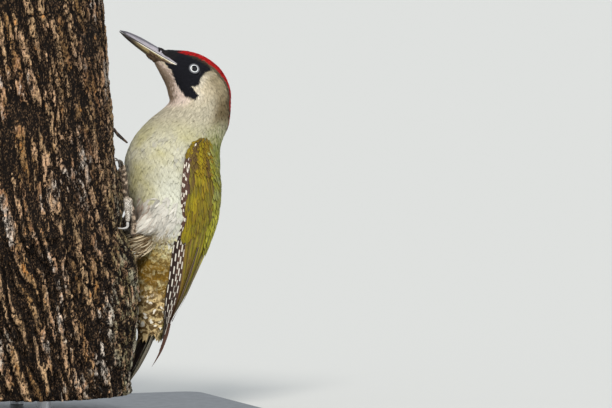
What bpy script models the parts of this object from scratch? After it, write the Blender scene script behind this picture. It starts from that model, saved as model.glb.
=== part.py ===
"""A green woodpecker, life size, clinging to a cut length of trunk that a plain display stand holds up.

Millimetres in the tables, metres in the scene. +Z is up, and the origin is the middle of the base
plate's underside. The bird's plane of symmetry is y = 0: its belly and the trunk are on the -X side,
its back on the +X side, and its left wing and leg are on the -Y side.
"""

import math

import bmesh
import bpy
from mathutils import Vector

MM = 0.001
GAP = 0.3  # clearance left between neighbouring solids
SIDES = {"left": -1.0, "right": 1.0}

# --- Stand ----------------------------------------------------------------------------------------
BASE_LENGTH, BASE_WIDTH, BASE_THICKNESS = 260.0, 180.0, 9.0
BASE_CORNER, BASE_EDGE = 14.0, 1.2
ROD_RADIUS, ROD_SPREAD = 5.0, 68.0

# --- Cut length of trunk --------------------------------------------------------------------------
LOG_BOTTOM, LOG_TOP = 20.0, 313.0
LOG_AXIS_X = (-29.3, -43.0)  # where its axis passes the bottom and the top: it leans away from the bird
LOG_RADIUS = (73.7, 65.8)
LOG_HEIGHTS = (20, 44, 68, 90, 112, 126, 139, 163, 188, 213, 238, 263, 288, 313)
LOG_SEGMENTS = 48
BARK_RIDGES, FURROW_DEPTH = 12, 2.4
SWELLING_ANGLE, SWELLING_HEIGHT, SWELLING_RISE = -24.0, 112.0, 10.4  # of the trunk, beside the bird's vent
SWELLING_HALF_ANGLE, SWELLING_ABOVE, SWELLING_BELOW = 44.0, 27.0, 80.0
SPLINTER_ANGLE, SPLINTER_HEIGHT, SPLINTER_OUT = -22.0, 209.5, 2.2
SPLINTER_REACH, SPLINTER_RADIUS = (9.0, 0.0, -7.5), 1.6

# --- Flesh: one row for each ring along the bird, from the bill's base to the root of the tail ----
# (x, z) of the ring's point on the throat and belly side, (x, z) on the crown and back side, and half
# its width
RINGS = [
    ((65.5, 259.9), (74.4, 268.7), 5.6),
    ((69.0, 253.6), (82.7, 268.2), 6.9),
    ((72.3, 248.0), (93.5, 267.2), 11.2),
    ((75.5, 241.8), (105.8, 262.8), 14.3),
    ((77.2, 235.9), (117.3, 253.7), 16.0),
    ((78.2, 230.0), (124.1, 240.6), 17.0),
    ((72.9, 224.7), (124.7, 227.6), 19.0),
    ((62.3, 216.6), (122.9, 213.1), 23.0),
    ((51.7, 204.8), (116.4, 197.8), 27.0),
    ((44.8, 189.5), (115.9, 182.5), 29.5),
    ((45.0, 173.6), (115.6, 171.5), 30.0),
    ((48.1, 158.9), (113.5, 157.0), 29.0),
    ((51.9, 144.3), (110.0, 141.0), 26.5),
    ((52.5, 126.0), (102.5, 122.0), 22.5),
    ((54.5, 107.7), (94.0, 103.0), 18.5),
    ((55.2, 89.4), (85.5, 86.0), 15.0),
    ((56.5, 71.3), (77.0, 71.0), 11.0),
    # The last three carry only the free ends of the wings, past the root of the tail.
    ((56.5, 60.5), (72.0, 58.0), 10.0),
    ((53.0, 50.5), (68.0, 47.0), 9.0),
    ((48.5, 41.0), (62.0, 36.5), 8.0),
]
RING_SEGMENTS = 24
EGG = 0.10  # how much wider the rings are on the belly side than on the back side
FLESH = {"head": (0.0, 4.9, 12), "neck": (4.9, 7.2, 5), "torso": (7.2, 13.0, 13), "rump": (13.0, 16.0, 6)}
CUT = 0.012  # half a cut between two pieces of flesh, in rings

# --- Folded wing: ring, angle of its lower and of its upper edge from the back's middle line, thickness 
WING_ROWS = [
    (7.90, 75, 66, 1.0),
    (8.10, 85, 54, 2.2),
    (8.50, 91, 46, 3.6),
    (9.00, 93, 38, 4.2),
    (10.0, 96, 30, 4.4),
    (11.0, 98, 22, 4.4),
    (12.0, 101, 14, 4.2),
    (13.0, 103, 6, 4.0),
    (14.0, 101, 4, 3.6),
    (15.0, 96, 4, 3.0),
    (15.7, 88, 5, 2.4),
    (16.3, 66, 8, 1.8),
    (17.0, 52, 10, 1.4),
    (18.0, 44, 16, 1.1),
    (19.0, 36, 22, 0.8),
]
WING_STEPS, WING_ACROSS, WING_EDGE = 24, 7, 0.25

# --- Tail: x and z of its middle line, half its width, thickness ----------------------------------
TAIL_ROWS = [
    (65.5, 70.0, 8.5, 7.0),
    (63.5, 60.5, 11.5, 4.0),
    (59.2, 49.0, 13.5, 2.4),
    (53.4, 38.0, 12.5, 1.8),
    (48.4, 30.0, 8.5, 1.3),
    (45.9, 26.0, 2.5, 1.0),
]
TAIL_STEPS, TAIL_ACROSS, TAIL_ROOF = 12, 8, 0.34

# --- Bill: distance from its tip, height of the upper half, depth of the lower half, half its width 
BILL_TIP = (39.4, 282.4)
BILL_SLOPE = math.radians(30.9)
BILL_ROWS = [
    (0.0, 0.6, 0.5, 0.6),
    (4.0, 2.2, 1.6, 1.4),
    (8.0, 3.1, 2.4, 2.0),
    (15.0, 4.1, 3.4, 2.8),
    (22.0, 4.5, 4.1, 3.6),
    (34.0, 4.7, 5.1, 5.0),
    (42.0, 4.9, 5.5, 6.2),
    (50.0, 5.0, 5.6, 6.9),
]
BILL_STEPS, BILL_ARCH, BILL_RIDGE = 12, 8, 1.55
BILL_SHOWN = 46.0  # its sides stand clear of the face up to here

# --- Eye ------------------------------------------------------------------------------------------
EYE_RING, EYE_ANGLE, EYE_RADIUS, EYE_STANDS_OUT = 2.88, 80.0, 5.0, 0.9

# --- Left leg: (x, y, z, radius) along the feathered thigh and the bare shank ---------------------
THIGH = [
    (70.0, -15.0, 147.0, 11.5),
    (60.0, -17.5, 143.5, 9.5),
    (52.5, -18.0, 140.2, 6.2),
    (48.4, -17.5, 138.6, 3.6),
]
SHANK = [(43.6, -18.0, 134.6, 2.0), (43.2, -19.5, 147.0, 1.7), (39.5, -21.0, 160.0, 2.4)]
# Toes as (angle round the trunk, height, distance of the toe's middle from the bark), and the same
# for each claw
TOES = {
    "inner": [(-15.5, 160.0, 6.2), (-11.5, 168.0, 5.6), (-9.5, 176.0, 5.2), (-9.5, 182.0, 4.4)],
    "middle": [(-15.5, 160.0, 6.2), (-17.5, 169.0, 6.2), (-19.0, 178.0, 6.4), (-20.5, 185.0, 5.6)],
    "outer": [(-15.5, 160.0, 6.2), (-18.0, 155.5, 6.6), (-19.0, 150.0, 6.6), (-19.5, 145.5, 6.2)],
    "hind": [(-15.5, 160.0, 6.2), (-11.0, 156.0, 4.6), (-8.5, 151.5, 3.4)],
}
CLAWS = {
    "inner": [(-9.5, 184.0, 4.2), (-9.5, 186.8, 4.0), (-9.6, 189.2, 2.8), (-9.8, 190.4, 0.9)],
    "middle": [(-21.5, 186.6, 5.4), (-23.8, 188.8, 5.0), (-26.2, 189.6, 3.2), (-28.0, 189.0, 0.9)],
    "outer": [(-20.4, 143.6, 6.0), (-23.4, 141.2, 6.2), (-27.4, 140.2, 4.2), (-31.0, 140.8, 0.9)],
    "hind": [(-7.4, 149.6, 3.2), (-6.6, 147.6, 3.0), (-6.0, 146.0, 2.1), (-5.8, 144.8, 0.9)],
}
TOE_RADII, CLAW_RADII = (2.1, 1.5), (1.25, 0.4)
TUBE_SIDES = 8
CAP_WIDTH, CAP_REACH = 0.5, 0.6  # of a tube's rounded ends, as shares of its radius

# Colour, roughness and metallic value of each finish
FINISHES = {
    "pale_plumage": ((0.62, 0.62, 0.46), 0.8, 0.0),
    "grey_plumage": ((0.45, 0.43, 0.36), 0.8, 0.0),
    "olive_plumage": ((0.24, 0.25, 0.04), 0.75, 0.0),
    "tail_plumage": ((0.09, 0.07, 0.05), 0.7, 0.0),
    "bill_horn": ((0.22, 0.22, 0.24), 0.4, 0.0),
    "claw_horn": ((0.16, 0.14, 0.13), 0.4, 0.0),
    "eye": ((0.02, 0.02, 0.03), 0.08, 0.0),
    "foot_skin": ((0.30, 0.29, 0.25), 0.6, 0.0),
    "bark": ((0.12, 0.08, 0.05), 0.95, 0.0),
    "stand_black": ((0.02, 0.02, 0.02), 0.45, 0.0),
    "stand_steel": ((0.55, 0.55, 0.56), 0.3, 1.0),
}


def clear_scene():
    for obj in list(bpy.data.objects):
        bpy.data.objects.remove(obj)


def finish(name):
    """The material of that finish, made when it is first asked for."""
    material = bpy.data.materials.get(name)
    if material is None:
        colour, roughness, metallic = FINISHES[name]
        material = bpy.data.materials.new(name)
        material.use_nodes = True
        shader = material.node_tree.nodes["Principled BSDF"]
        shader.inputs["Base Color"].default_value = (*colour, 1.0)
        shader.inputs["Roughness"].default_value = roughness
        shader.inputs["Metallic"].default_value = metallic
    return material


# --- Curves through the tables --------------------------------------------------------------------
def between(rows, at):
    """The rows' values at a fractional row, on a smooth curve through them (Catmull-Rom)."""
    last = len(rows) - 1
    i = min(int(max(at, 0.0)), last - 1)
    t = at - i
    before, a, b, after = (rows[min(max(k, 0), last)] for k in (i - 1, i, i + 1, i + 2))
    return [
        0.5 * (2 * q + (r - p) * t + (2 * p - 5 * q + 4 * r - s) * t * t + (3 * q - p - 3 * r + s) * t**3)
        for p, q, r, s in zip(before, a, b, after)
    ]


def at_key(rows, key):
    """The values after the first of each row, at a value of that first one."""
    keys = [row[0] for row in rows]
    i = max(k for k in range(len(keys) - 1) if keys[k] <= key or k == 0)
    return between([row[1:] for row in rows], i + (key - keys[i]) / (keys[i + 1] - keys[i]))


FLAT_RINGS = [(*belly, *back, width) for belly, back, width in RINGS]


def body_point(ring, angle, grow=0.0):
    """A point on the flesh: angle 0 is the back's middle line and 90 the bird's left side.

    Grow is added all round.
    """
    belly_x, belly_z, back_x, back_z, width = between(FLAT_RINGS, ring)
    middle = Vector(((belly_x + back_x) / 2, 0, (belly_z + back_z) / 2))
    half = Vector(((back_x - belly_x) / 2, 0, (back_z - belly_z) / 2))
    turn = math.radians(angle)
    half *= 1 + grow / half.length
    across = (width + grow) * (1 - EGG * math.cos(turn)) * math.sin(turn)
    return middle + half * math.cos(turn) + Vector((0, -across, 0))


def log_point(angle, height, out=0.0):
    """A point at that angle round the trunk and that height, out from the tops of the bark's ridges."""
    share = (height - LOG_BOTTOM) / (LOG_TOP - LOG_BOTTOM)
    axis_x = LOG_AXIS_X[0] + share * (LOG_AXIS_X[1] - LOG_AXIS_X[0])
    radius = LOG_RADIUS[0] + share * (LOG_RADIUS[1] - LOG_RADIUS[0]) + out
    turn = math.radians(angle)
    return Vector((axis_x + radius * math.cos(turn), radius * math.sin(turn), height))


# --- Meshes ---------------------------------------------------------------------------------------
def add_object(name, mesh, material, smooth=True):
    obj = bpy.data.objects.new(name, mesh)
    bpy.context.scene.collection.objects.link(obj)
    mesh.materials.append(finish(material))
    if smooth:
        mesh.shade_smooth()
        mesh.set_sharp_from_angle(angle=math.radians(50))
    return obj


def loft(name, rings, material, smooth=True):
    """A closed solid through rings of points in millimetres, each ring with as many points."""
    shape = bmesh.new()
    loops = [[shape.verts.new(point * MM) for point in ring] for ring in rings]
    count = len(loops[0])
    for lower, upper in zip(loops, loops[1:]):
        for i in range(count):
            j = (i + 1) % count
            shape.faces.new((lower[i], lower[j], upper[j], upper[i]))
    shape.faces.new(loops[0][::-1])
    shape.faces.new(loops[-1])
    bmesh.ops.recalc_face_normals(shape, faces=shape.faces)
    mesh = bpy.data.meshes.new(name)
    shape.to_mesh(mesh)
    shape.free()
    return add_object(name, mesh, material, smooth)


def tube(name, path, material, sides=TUBE_SIDES):
    """A tapering tube round a path of (point, radius), its ends drawn in to small rounded caps."""
    points = [point for point, _ in path]
    rings = []
    across = Vector((0.13, 0.97, 0.21))
    for i, (point, radius) in enumerate(path):
        along = (points[min(i + 1, len(points) - 1)] - points[max(i - 1, 0)]).normalized()
        side = (across - along * across.dot(along)).normalized()
        up = along.cross(side)
        turns = [2 * math.pi * k / sides for k in range(sides)]
        ring = [point + side * radius * math.cos(a) + up * radius * math.sin(a) for a in turns]
        if i in (0, len(path) - 1):
            outwards = -along if i == 0 else along
            cap = [point + (p - point) * CAP_WIDTH + outwards * radius * CAP_REACH for p in ring]
            rings += [cap, ring] if i == 0 else [ring, cap]
        else:
            rings.append(ring)
    return loft(name, rings, material)


def smooth_path(rows, steps):
    """Points and radii along a curve through rows of x, y, z and radius."""
    last = len(rows) - 1
    found = [between(rows, last * i / steps) for i in range(steps + 1)]
    return [(Vector(values[:3]), values[3]) for values in found]


def helper(obj):
    """Marks a cutter, which is no part of the model."""
    obj.hide_render = True
    obj.display_type = "WIRE"
    return obj


def combine(obj, other, operation):
    modifier = obj.modifiers.new(operation.lower(), "BOOLEAN")
    modifier.operation = operation
    modifier.object = helper(other)


# --- The bird -------------------------------------------------------------------------------------
def flesh_rings(first, last, steps, grow=0.0):
    angles = [360 * k / RING_SEGMENTS for k in range(RING_SEGMENTS)]
    places = [first + (last - first) * i / steps for i in range(steps + 1)]
    return [[body_point(ring, angle, grow) for angle in angles] for ring in places]


def make_flesh():
    pieces = {}
    for name, (first, last, steps) in FLESH.items():
        start = first + (CUT if name != "head" else 0.0)
        end = last - (CUT if name != "rump" else 0.0)
        material = {"head": "grey_plumage", "neck": "grey_plumage"}.get(name, "pale_plumage")
        pieces[name] = loft(name, flesh_rings(start, end, steps), material)
    return pieces


def bill_rings(upper, grow=0.0, spread=0.0, end=BILL_ROWS[-1][0]):
    """Rings of one half of the bill, or of the whole when upper is None."""
    back = Vector((math.cos(BILL_SLOPE), 0, -math.sin(BILL_SLOPE)))
    up = Vector((math.sin(BILL_SLOPE), 0, math.cos(BILL_SLOPE)))
    tip = Vector((BILL_TIP[0], 0, BILL_TIP[1]))
    rings = []
    for i in range(BILL_STEPS + 1):
        distance = end * (i / BILL_STEPS) ** 1.3
        rise, drop, width = at_key(BILL_ROWS, distance)
        centre = tip + back * (distance - grow if i == 0 else distance + grow)
        ring = []
        for k in range(BILL_ARCH + 1):
            turn = math.pi * k / BILL_ARCH
            aside = math.copysign(abs(math.cos(turn)) ** (2 / BILL_RIDGE), math.cos(turn))
            ring.append((aside * (width + grow + spread), math.sin(turn) ** (2 / BILL_RIDGE)))
        arch = [centre + Vector((0, y, 0)) + up * (GAP / 2 + (rise + grow) * h) for y, h in ring]
        keel = [centre + Vector((0, y, 0)) - up * (GAP / 2 + (drop + grow) * h) for y, h in ring]
        rings.append(arch + keel[-2:0:-1] if upper is None else arch if upper else keel)
    return rings


def make_bill():
    loft("bill_upper", bill_rings(True), "bill_horn")
    loft("bill_lower", bill_rings(False), "bill_horn")


def eye_centre(side):
    on_skin = body_point(EYE_RING, EYE_ANGLE)
    forward = body_point(EYE_RING + 0.2, EYE_ANGLE) - body_point(EYE_RING - 0.2, EYE_ANGLE)
    round_it = body_point(EYE_RING, EYE_ANGLE + 5) - body_point(EYE_RING, EYE_ANGLE - 5)
    outwards = forward.cross(round_it).normalized()
    if outwards.y > 0:
        outwards.negate()
    centre = on_skin - outwards * (EYE_RADIUS - EYE_STANDS_OUT)
    return Vector((centre.x, centre.y * -side, centre.z))


def add_ball(name, centre, radius, material):
    size, place = radius * MM, centre * MM
    bpy.ops.mesh.primitive_uv_sphere_add(segments=16, ring_count=10, radius=size, location=place)
    ball = bpy.context.object
    ball.name = name
    ball.data.materials.append(finish(material))
    ball.data.shade_smooth()
    return ball


def make_eyes(head):
    for side, sign in SIDES.items():
        add_ball(f"eye_{side}", eye_centre(sign), EYE_RADIUS, "eye")
        combine(head, add_ball(f"cut_eye_{side}", eye_centre(sign), EYE_RADIUS + GAP, "eye"), "DIFFERENCE")


def cut_bill_socket(head):
    combine(head, loft("cut_bill", bill_rings(None, grow=GAP), "bill_horn"), "DIFFERENCE")
    clear_of_face = bill_rings(None, grow=GAP, spread=6.0, end=BILL_SHOWN)
    combine(head, loft("cut_bill_sides", clear_of_face, "bill_horn"), "DIFFERENCE")


def make_wing(side, sign):
    """A curved blade that lies on the flesh: its inner face follows the flesh at a small gap."""
    first, last = WING_ROWS[0][0], WING_ROWS[-1][0]
    rings = []
    for i in range(WING_STEPS + 1):
        ring = first + (last - first) * (i / WING_STEPS) ** 1.15
        lower, upper, thickness = at_key(WING_ROWS, ring)
        outer, inner = [], []
        for k in range(WING_ACROSS + 1):
            share = k / WING_ACROSS
            crown = 1 - (1 - WING_EDGE) * abs(2 * share - 1) ** 3
            angle = lower + (upper - lower) * share
            outer.append(body_point(ring, angle, GAP + max(thickness * crown, 0.6)))
            inner.append(body_point(ring, angle, GAP))
        rings.append([Vector((p.x, p.y * -sign, p.z)) for p in outer + inner[::-1]])
    return loft(f"wing_{side}", rings, "olive_plumage")


def make_tail():
    """A stiff, slightly roofed fan whose tip presses on the bark."""
    last = len(TAIL_ROWS) - 1
    rings = []
    for i in range(TAIL_STEPS + 1):
        at = last * i / TAIL_STEPS
        x, z, half_width, thickness = between(TAIL_ROWS, at)
        x1, z1 = between(TAIL_ROWS, min(at + 0.1, last))[:2]
        x0, z0 = between(TAIL_ROWS, max(at - 0.1, 0.0))[:2]
        along = Vector((x1 - x0, 0, z1 - z0)).normalized()
        back = Vector((-along.z, 0, along.x))
        upper, lower = [], []
        for k in range(TAIL_ACROSS + 1):
            share = 2 * k / TAIL_ACROSS - 1
            middle = Vector((x, share * half_width, z)) - back * TAIL_ROOF * half_width * share**2
            half = back * max(thickness * (1 - 0.5 * share**2), 0.6) / 2
            upper.append(middle + half)
            lower.append(middle - half)
        rings.append(upper + lower[::-1])
    return loft("tail", rings, "tail_plumage")


def on_side(rows, sign):
    return [(x, y * -sign, z, radius) for x, y, z, radius in rows]


def trunk_path(rows, radii, steps, sign):
    """Points and radii along a curve that rows of angle, height and distance give over the bark."""
    last = len(rows) - 1
    path = []
    for i in range(steps + 1):
        angle, height, out = between(rows, last * i / steps)
        path.append((log_point(angle * -sign, height, out), radii[0] + (radii[1] - radii[0]) * i / steps))
    return path


def make_leg(side, sign, flesh_cutters):
    thigh = tube(f"thigh_{side}", smooth_path(on_side(THIGH, sign), 6), "pale_plumage", sides=14)
    for cutter in flesh_cutters:
        combine(thigh, cutter, "DIFFERENCE")
    leg = tube(f"leg_{side}", smooth_path(on_side(SHANK, sign), 6), "foot_skin")
    for toe, rows in TOES.items():
        part = tube(f"join_{toe}_{side}", trunk_path(rows, TOE_RADII, 5, sign), "foot_skin")
        combine(leg, part, "UNION")
    for toe, rows in CLAWS.items():
        tube(f"claw_{toe}_{side}", trunk_path(rows, CLAW_RADII, 4, sign), "claw_horn", sides=6)


# --- Trunk and stand ------------------------------------------------------------------------------
def swelling(angle, height):
    """How far the trunk swells out at that angle round it and that height."""
    aside = abs((angle - SWELLING_ANGLE + 180) % 360 - 180) / SWELLING_HALF_ANGLE
    above = (height - SWELLING_HEIGHT) / SWELLING_ABOVE
    below = (SWELLING_HEIGHT - height) / SWELLING_BELOW
    if max(aside, above, below) >= 1:
        return 0.0
    along = math.cos(math.pi / 2 * above) ** 1.2 if above > 0 else 1 - below**2
    return SWELLING_RISE * math.cos(math.pi / 2 * aside) ** 1.5 * along


def make_log():
    """The bark's outer shape: broad upright ridges that wander round the trunk, with furrows between them."""
    rings = []
    for height in LOG_HEIGHTS:
        ring = []
        for k in range(LOG_SEGMENTS):
            angle = 360 * k / LOG_SEGMENTS
            wander = 0.5 * math.sin(height / 31) + 0.35 * math.sin(height / 17 + 2.0)
            wave = 0.5 - 0.5 * math.cos(BARK_RIDGES * math.radians(angle) + wander)
            ring.append(log_point(angle, height, swelling(angle, height) - FURROW_DEPTH * (1 - wave)))
        rings.append(ring)
    loft("perch_log", rings, "bark", smooth=False)
    root = log_point(SPLINTER_ANGLE, SPLINTER_HEIGHT, SPLINTER_OUT)
    tip = root + Vector(SPLINTER_REACH)
    path = [(root.lerp(tip, t), SPLINTER_RADIUS * (1 - 0.5 * t)) for t in (0, 0.35, 0.7, 1)]
    tube("perch_splinter", path, "bark")


def make_stand():
    bpy.ops.mesh.primitive_cube_add(size=1, location=(0, 0, BASE_THICKNESS / 2 * MM))
    base = bpy.context.object
    base.name = "stand_base"
    base.scale = (BASE_LENGTH * MM, BASE_WIDTH * MM, BASE_THICKNESS * MM)
    bpy.ops.object.transform_apply(location=False, rotation=False, scale=True)
    base.data.materials.append(finish("stand_black"))
    shape = bmesh.new()
    shape.from_mesh(base.data)
    corners = [e for e in shape.edges if abs(e.verts[0].co.z - e.verts[1].co.z) > BASE_THICKNESS / 2 * MM]
    bmesh.ops.bevel(shape, geom=corners, offset=BASE_CORNER * MM, segments=5, affect="EDGES", profile=0.5)
    rim = [e for e in shape.edges if all(v.co.z > 0 for v in e.verts) and e.calc_face_angle(0) > 1]
    bmesh.ops.bevel(shape, geom=rim, offset=BASE_EDGE * MM, segments=2, affect="EDGES", profile=0.5)
    shape.to_mesh(base.data)
    shape.free()
    height = LOG_BOTTOM - BASE_THICKNESS - 2 * GAP
    for number, y in (("1", -ROD_SPREAD / 2), ("2", ROD_SPREAD / 2)):
        place = Vector((LOG_AXIS_X[0], y, BASE_THICKNESS + GAP + height / 2)) * MM
        radius, depth = ROD_RADIUS * MM, height * MM
        bpy.ops.mesh.primitive_cylinder_add(vertices=24, radius=radius, depth=depth, location=place)
        rod = bpy.context.object
        rod.name = f"stand_rod_{number}"
        rod.data.materials.append(finish("stand_steel"))
        rod.data.shade_smooth()
        rod.data.set_sharp_from_angle(angle=math.radians(50))


def main():
    clear_scene()
    pieces = make_flesh()
    make_bill()
    make_eyes(pieces["head"])
    cut_bill_socket(pieces["head"])
    make_tail()
    cutters = []
    for name in ("torso", "rump"):
        first, last, steps = FLESH[name]
        rings = flesh_rings(first - 2 * CUT, last + 2 * CUT, steps, GAP)
        cutters.append(loft(f"cut_{name}", rings, "pale_plumage"))
    for side, sign in SIDES.items():
        make_wing(side, sign)
        make_leg(side, sign, cutters)
    make_log()
    make_stand()


main()
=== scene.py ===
"""The finish of a green woodpecker on a cut length of trunk: plumage, bill, eyes, feet, bark and stand.

Lengths are in millimetres until a mesh is made. A place on the bird's body is a pair: the ring, which counts
from 0 at the bill's base to 16 at the root of the tail, and the angle round it, which is 0 along the back
and 90 on the left side.
"""

import json
import math

import bpy
import numpy as np
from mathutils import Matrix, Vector
from mathutils.kdtree import KDTree


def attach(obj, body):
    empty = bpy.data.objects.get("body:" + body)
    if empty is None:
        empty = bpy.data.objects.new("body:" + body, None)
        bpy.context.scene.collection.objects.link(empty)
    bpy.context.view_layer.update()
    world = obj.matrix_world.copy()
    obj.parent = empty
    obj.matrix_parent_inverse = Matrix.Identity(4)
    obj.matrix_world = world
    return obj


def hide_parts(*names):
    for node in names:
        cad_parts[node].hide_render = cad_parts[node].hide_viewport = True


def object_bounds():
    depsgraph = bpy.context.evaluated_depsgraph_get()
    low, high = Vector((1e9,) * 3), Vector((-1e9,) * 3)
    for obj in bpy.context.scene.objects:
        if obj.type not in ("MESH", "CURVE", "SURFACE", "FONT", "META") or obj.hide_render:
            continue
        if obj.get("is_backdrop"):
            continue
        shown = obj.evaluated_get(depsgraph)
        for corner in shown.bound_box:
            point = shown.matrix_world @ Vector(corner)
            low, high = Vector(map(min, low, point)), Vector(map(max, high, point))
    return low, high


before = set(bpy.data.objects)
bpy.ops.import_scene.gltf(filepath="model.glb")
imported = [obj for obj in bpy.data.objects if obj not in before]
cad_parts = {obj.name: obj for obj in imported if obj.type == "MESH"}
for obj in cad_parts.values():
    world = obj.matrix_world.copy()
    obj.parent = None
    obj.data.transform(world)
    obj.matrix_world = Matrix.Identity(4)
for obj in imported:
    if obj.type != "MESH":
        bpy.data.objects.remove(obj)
cad_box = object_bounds()

MM = 0.001
SIDES = {"left": 1.0, "right": -1.0}
chance = np.random.default_rng(41)

# --- The bird's body ----------------------------------------------------------
# As in the model: belly x and z, back x and z, and half width of each ring
RINGS = np.array(
    [
        (65.5, 259.9, 74.4, 268.7, 5.6),
        (69.0, 253.6, 82.7, 268.2, 6.9),
        (72.3, 248.0, 93.5, 267.2, 11.2),
        (75.5, 241.8, 105.8, 262.8, 14.3),
        (77.2, 235.9, 117.3, 253.7, 16.0),
        (78.2, 230.0, 124.1, 240.6, 17.0),
        (72.9, 224.7, 124.7, 227.6, 19.0),
        (62.3, 216.6, 122.9, 213.1, 23.0),
        (51.7, 204.8, 116.4, 197.8, 27.0),
        (44.8, 189.5, 115.9, 182.5, 29.5),
        (45.0, 173.6, 115.6, 171.5, 30.0),
        (48.1, 158.9, 113.5, 157.0, 29.0),
        (51.9, 144.3, 110.0, 141.0, 26.5),
        (52.5, 126.0, 102.5, 122.0, 22.5),
        (54.5, 107.7, 94.0, 103.0, 18.5),
        (55.2, 89.4, 85.5, 86.0, 15.0),
        (56.5, 71.3, 77.0, 71.0, 11.0),
        (56.5, 60.5, 72.0, 58.0, 10.0),
        (53.0, 50.5, 68.0, 47.0, 9.0),
        (48.5, 41.0, 62.0, 36.5, 8.0),
    ]
)
# How much narrower than an ellipse the rings are along the back, and wider along the belly
EGG = 0.10
# Where the plumage stands out over the thighs and under the tail: ring, angle, reach in each, and rise
SWELLS = ((11.9, 128.0, 1.9, 48.0, 6.5), (15.9, 180.0, 3.4, 66.0, 4.3))
TAIL_ROOT = 16.0


def between(rows, at):
    """The rows' values at fractional rows, on a smooth curve through them."""
    last = len(rows) - 1
    at = np.clip(at, 0, last - 1e-6)
    row = at.astype(int)
    t = (at - row)[..., None]
    before, a, b, after = (rows[np.clip(row + k, 0, last)] for k in (-1, 0, 1, 2))
    return 0.5 * (
        2 * a
        + (b - before) * t
        + (2 * before - 5 * a + 4 * b - after) * t**2
        + (3 * a - before - 3 * b + after) * t**3
    )


def body(ring, angle, grow):
    """Points on the body's outline, grown outwards by so many millimetres."""
    belly_x, belly_z, back_x, back_z, width = np.moveaxis(between(RINGS, ring), -1, 0)
    turn = np.radians(angle)
    half_x, half_z = (back_x - belly_x) / 2, (back_z - belly_z) / 2
    out = np.cos(turn) * (1 + grow / np.hypot(half_x, half_z))
    across = (width + grow) * (1 - EGG * np.cos(turn)) * np.sin(turn)
    x, z = (belly_x + back_x) / 2 + half_x * out, (belly_z + back_z) / 2 + half_z * out
    return np.stack([x, -across, z], axis=-1)


def off_axis(angle, axis=0.0):
    """Degrees between an angle and an axis, from 0 to 180."""
    return np.abs((angle - axis + 180) % 360 - 180)


def unit(vectors):
    return vectors / np.maximum(np.linalg.norm(vectors, axis=-1, keepdims=True), 1e-9)


def plumage(ring, angle, grow):
    """The outline of the body's feathers: the body and its swells."""
    off = off_axis(angle)
    for at_ring, at_angle, ring_reach, angle_reach, height in SWELLS:
        below = (ring - at_ring) / np.where(ring < at_ring, ring_reach, ring_reach * 0.75)
        away = np.clip(np.hypot((off - at_angle) / angle_reach, below), 0, 1)
        grow = grow + height * (1 - away**2) ** 2
    return body(ring, angle, grow)


def steps_at(surface, along, angle, grow):
    """Millimetres for each ring and for each degree there, and the direction out of the surface."""
    far, wide = 0.04, 1.5
    down = (surface(along + far, angle, grow) - surface(along - far, angle, grow)) / (2 * far)
    round_it = (surface(along, angle + wide, grow) - surface(along, angle - wide, grow)) / (2 * wide)
    out = unit(np.cross(round_it, down))
    raised = surface(along, angle, grow + 0.5) - surface(along, angle, grow)
    out = out * np.where((out * raised).sum(-1, keepdims=True) < 0, -1.0, 1.0)
    return np.linalg.norm(down, axis=-1), np.linalg.norm(round_it, axis=-1), out


# --- Meshes from arrays -------------------------------------------------------
def with_bars(colours):
    """Colours with a fourth channel, how strongly a feather is barred: not at all where it isn't given."""
    if colours.shape[-1] == 4:
        return colours
    return np.concatenate([colours, np.zeros((*colours.shape[:-1], 1))], -1)


def set_tint(mesh, colours):
    tint = mesh.attributes.new("tint", "FLOAT_COLOR", "POINT")
    tint.data.foreach_set("color", with_bars(colours).astype(np.float32).ravel())


def set_marks(mesh, marks):
    """Three numbers for each point. On a feather: across it, along it and its luck."""
    vane = mesh.attributes.new("vane", "FLOAT_VECTOR", "POINT")
    vane.data.foreach_set("vector", marks.astype(np.float32).ravel())


def set_bake_map(mesh, corners):
    layer = mesh.uv_layers.new(name="OFBake")
    layer.data.foreach_set("uv", corners.astype(np.float32).ravel())


def make_mesh(name, points, faces_by_size, colours=None, marks=None, bake_map=None):
    """A mesh object from points in millimetres and arrays of faces with 3, 4 or more corners each."""
    mesh = bpy.data.meshes.new(name)
    mesh.vertices.add(len(points))
    mesh.vertices.foreach_set("co", (points * MM).astype(np.float32).ravel())
    corners = np.concatenate([faces.ravel() for faces in faces_by_size]).astype(np.int32)
    totals = np.concatenate([np.full(len(faces), faces.shape[1]) for faces in faces_by_size])
    mesh.loops.add(len(corners))
    mesh.loops.foreach_set("vertex_index", corners)
    mesh.polygons.add(len(totals))
    mesh.polygons.foreach_set("loop_start", np.concatenate([[0], np.cumsum(totals)[:-1]]).astype(np.int32))
    mesh.update(calc_edges=True)
    if colours is not None:
        set_tint(mesh, colours)
    if marks is not None:
        set_marks(mesh, marks)
    if bake_map is not None:
        set_bake_map(mesh, bake_map[corners])
    mesh.validate()
    piece = bpy.data.objects.new(name, mesh)
    bpy.context.scene.collection.objects.link(piece)
    return piece


def face_outwards(piece, merge=False):
    """Turns every face of a closed mesh outwards, with its doubled points merged first if asked."""
    bpy.ops.object.select_all(action="DESELECT")
    bpy.context.view_layer.objects.active = piece
    piece.select_set(True)
    bpy.ops.object.mode_set(mode="EDIT")
    bpy.ops.mesh.select_all(action="SELECT")
    if merge:
        bpy.ops.mesh.remove_doubles(threshold=0.001 * MM)
    bpy.ops.mesh.normals_make_consistent(inside=False)
    bpy.ops.object.mode_set(mode="OBJECT")


def finish_piece(piece, material, slot, *nodes):
    piece.data.materials.clear()
    piece.data.materials.append(material)
    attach(piece, "root")
    if nodes:
        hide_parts(*nodes)
    return piece


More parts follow.
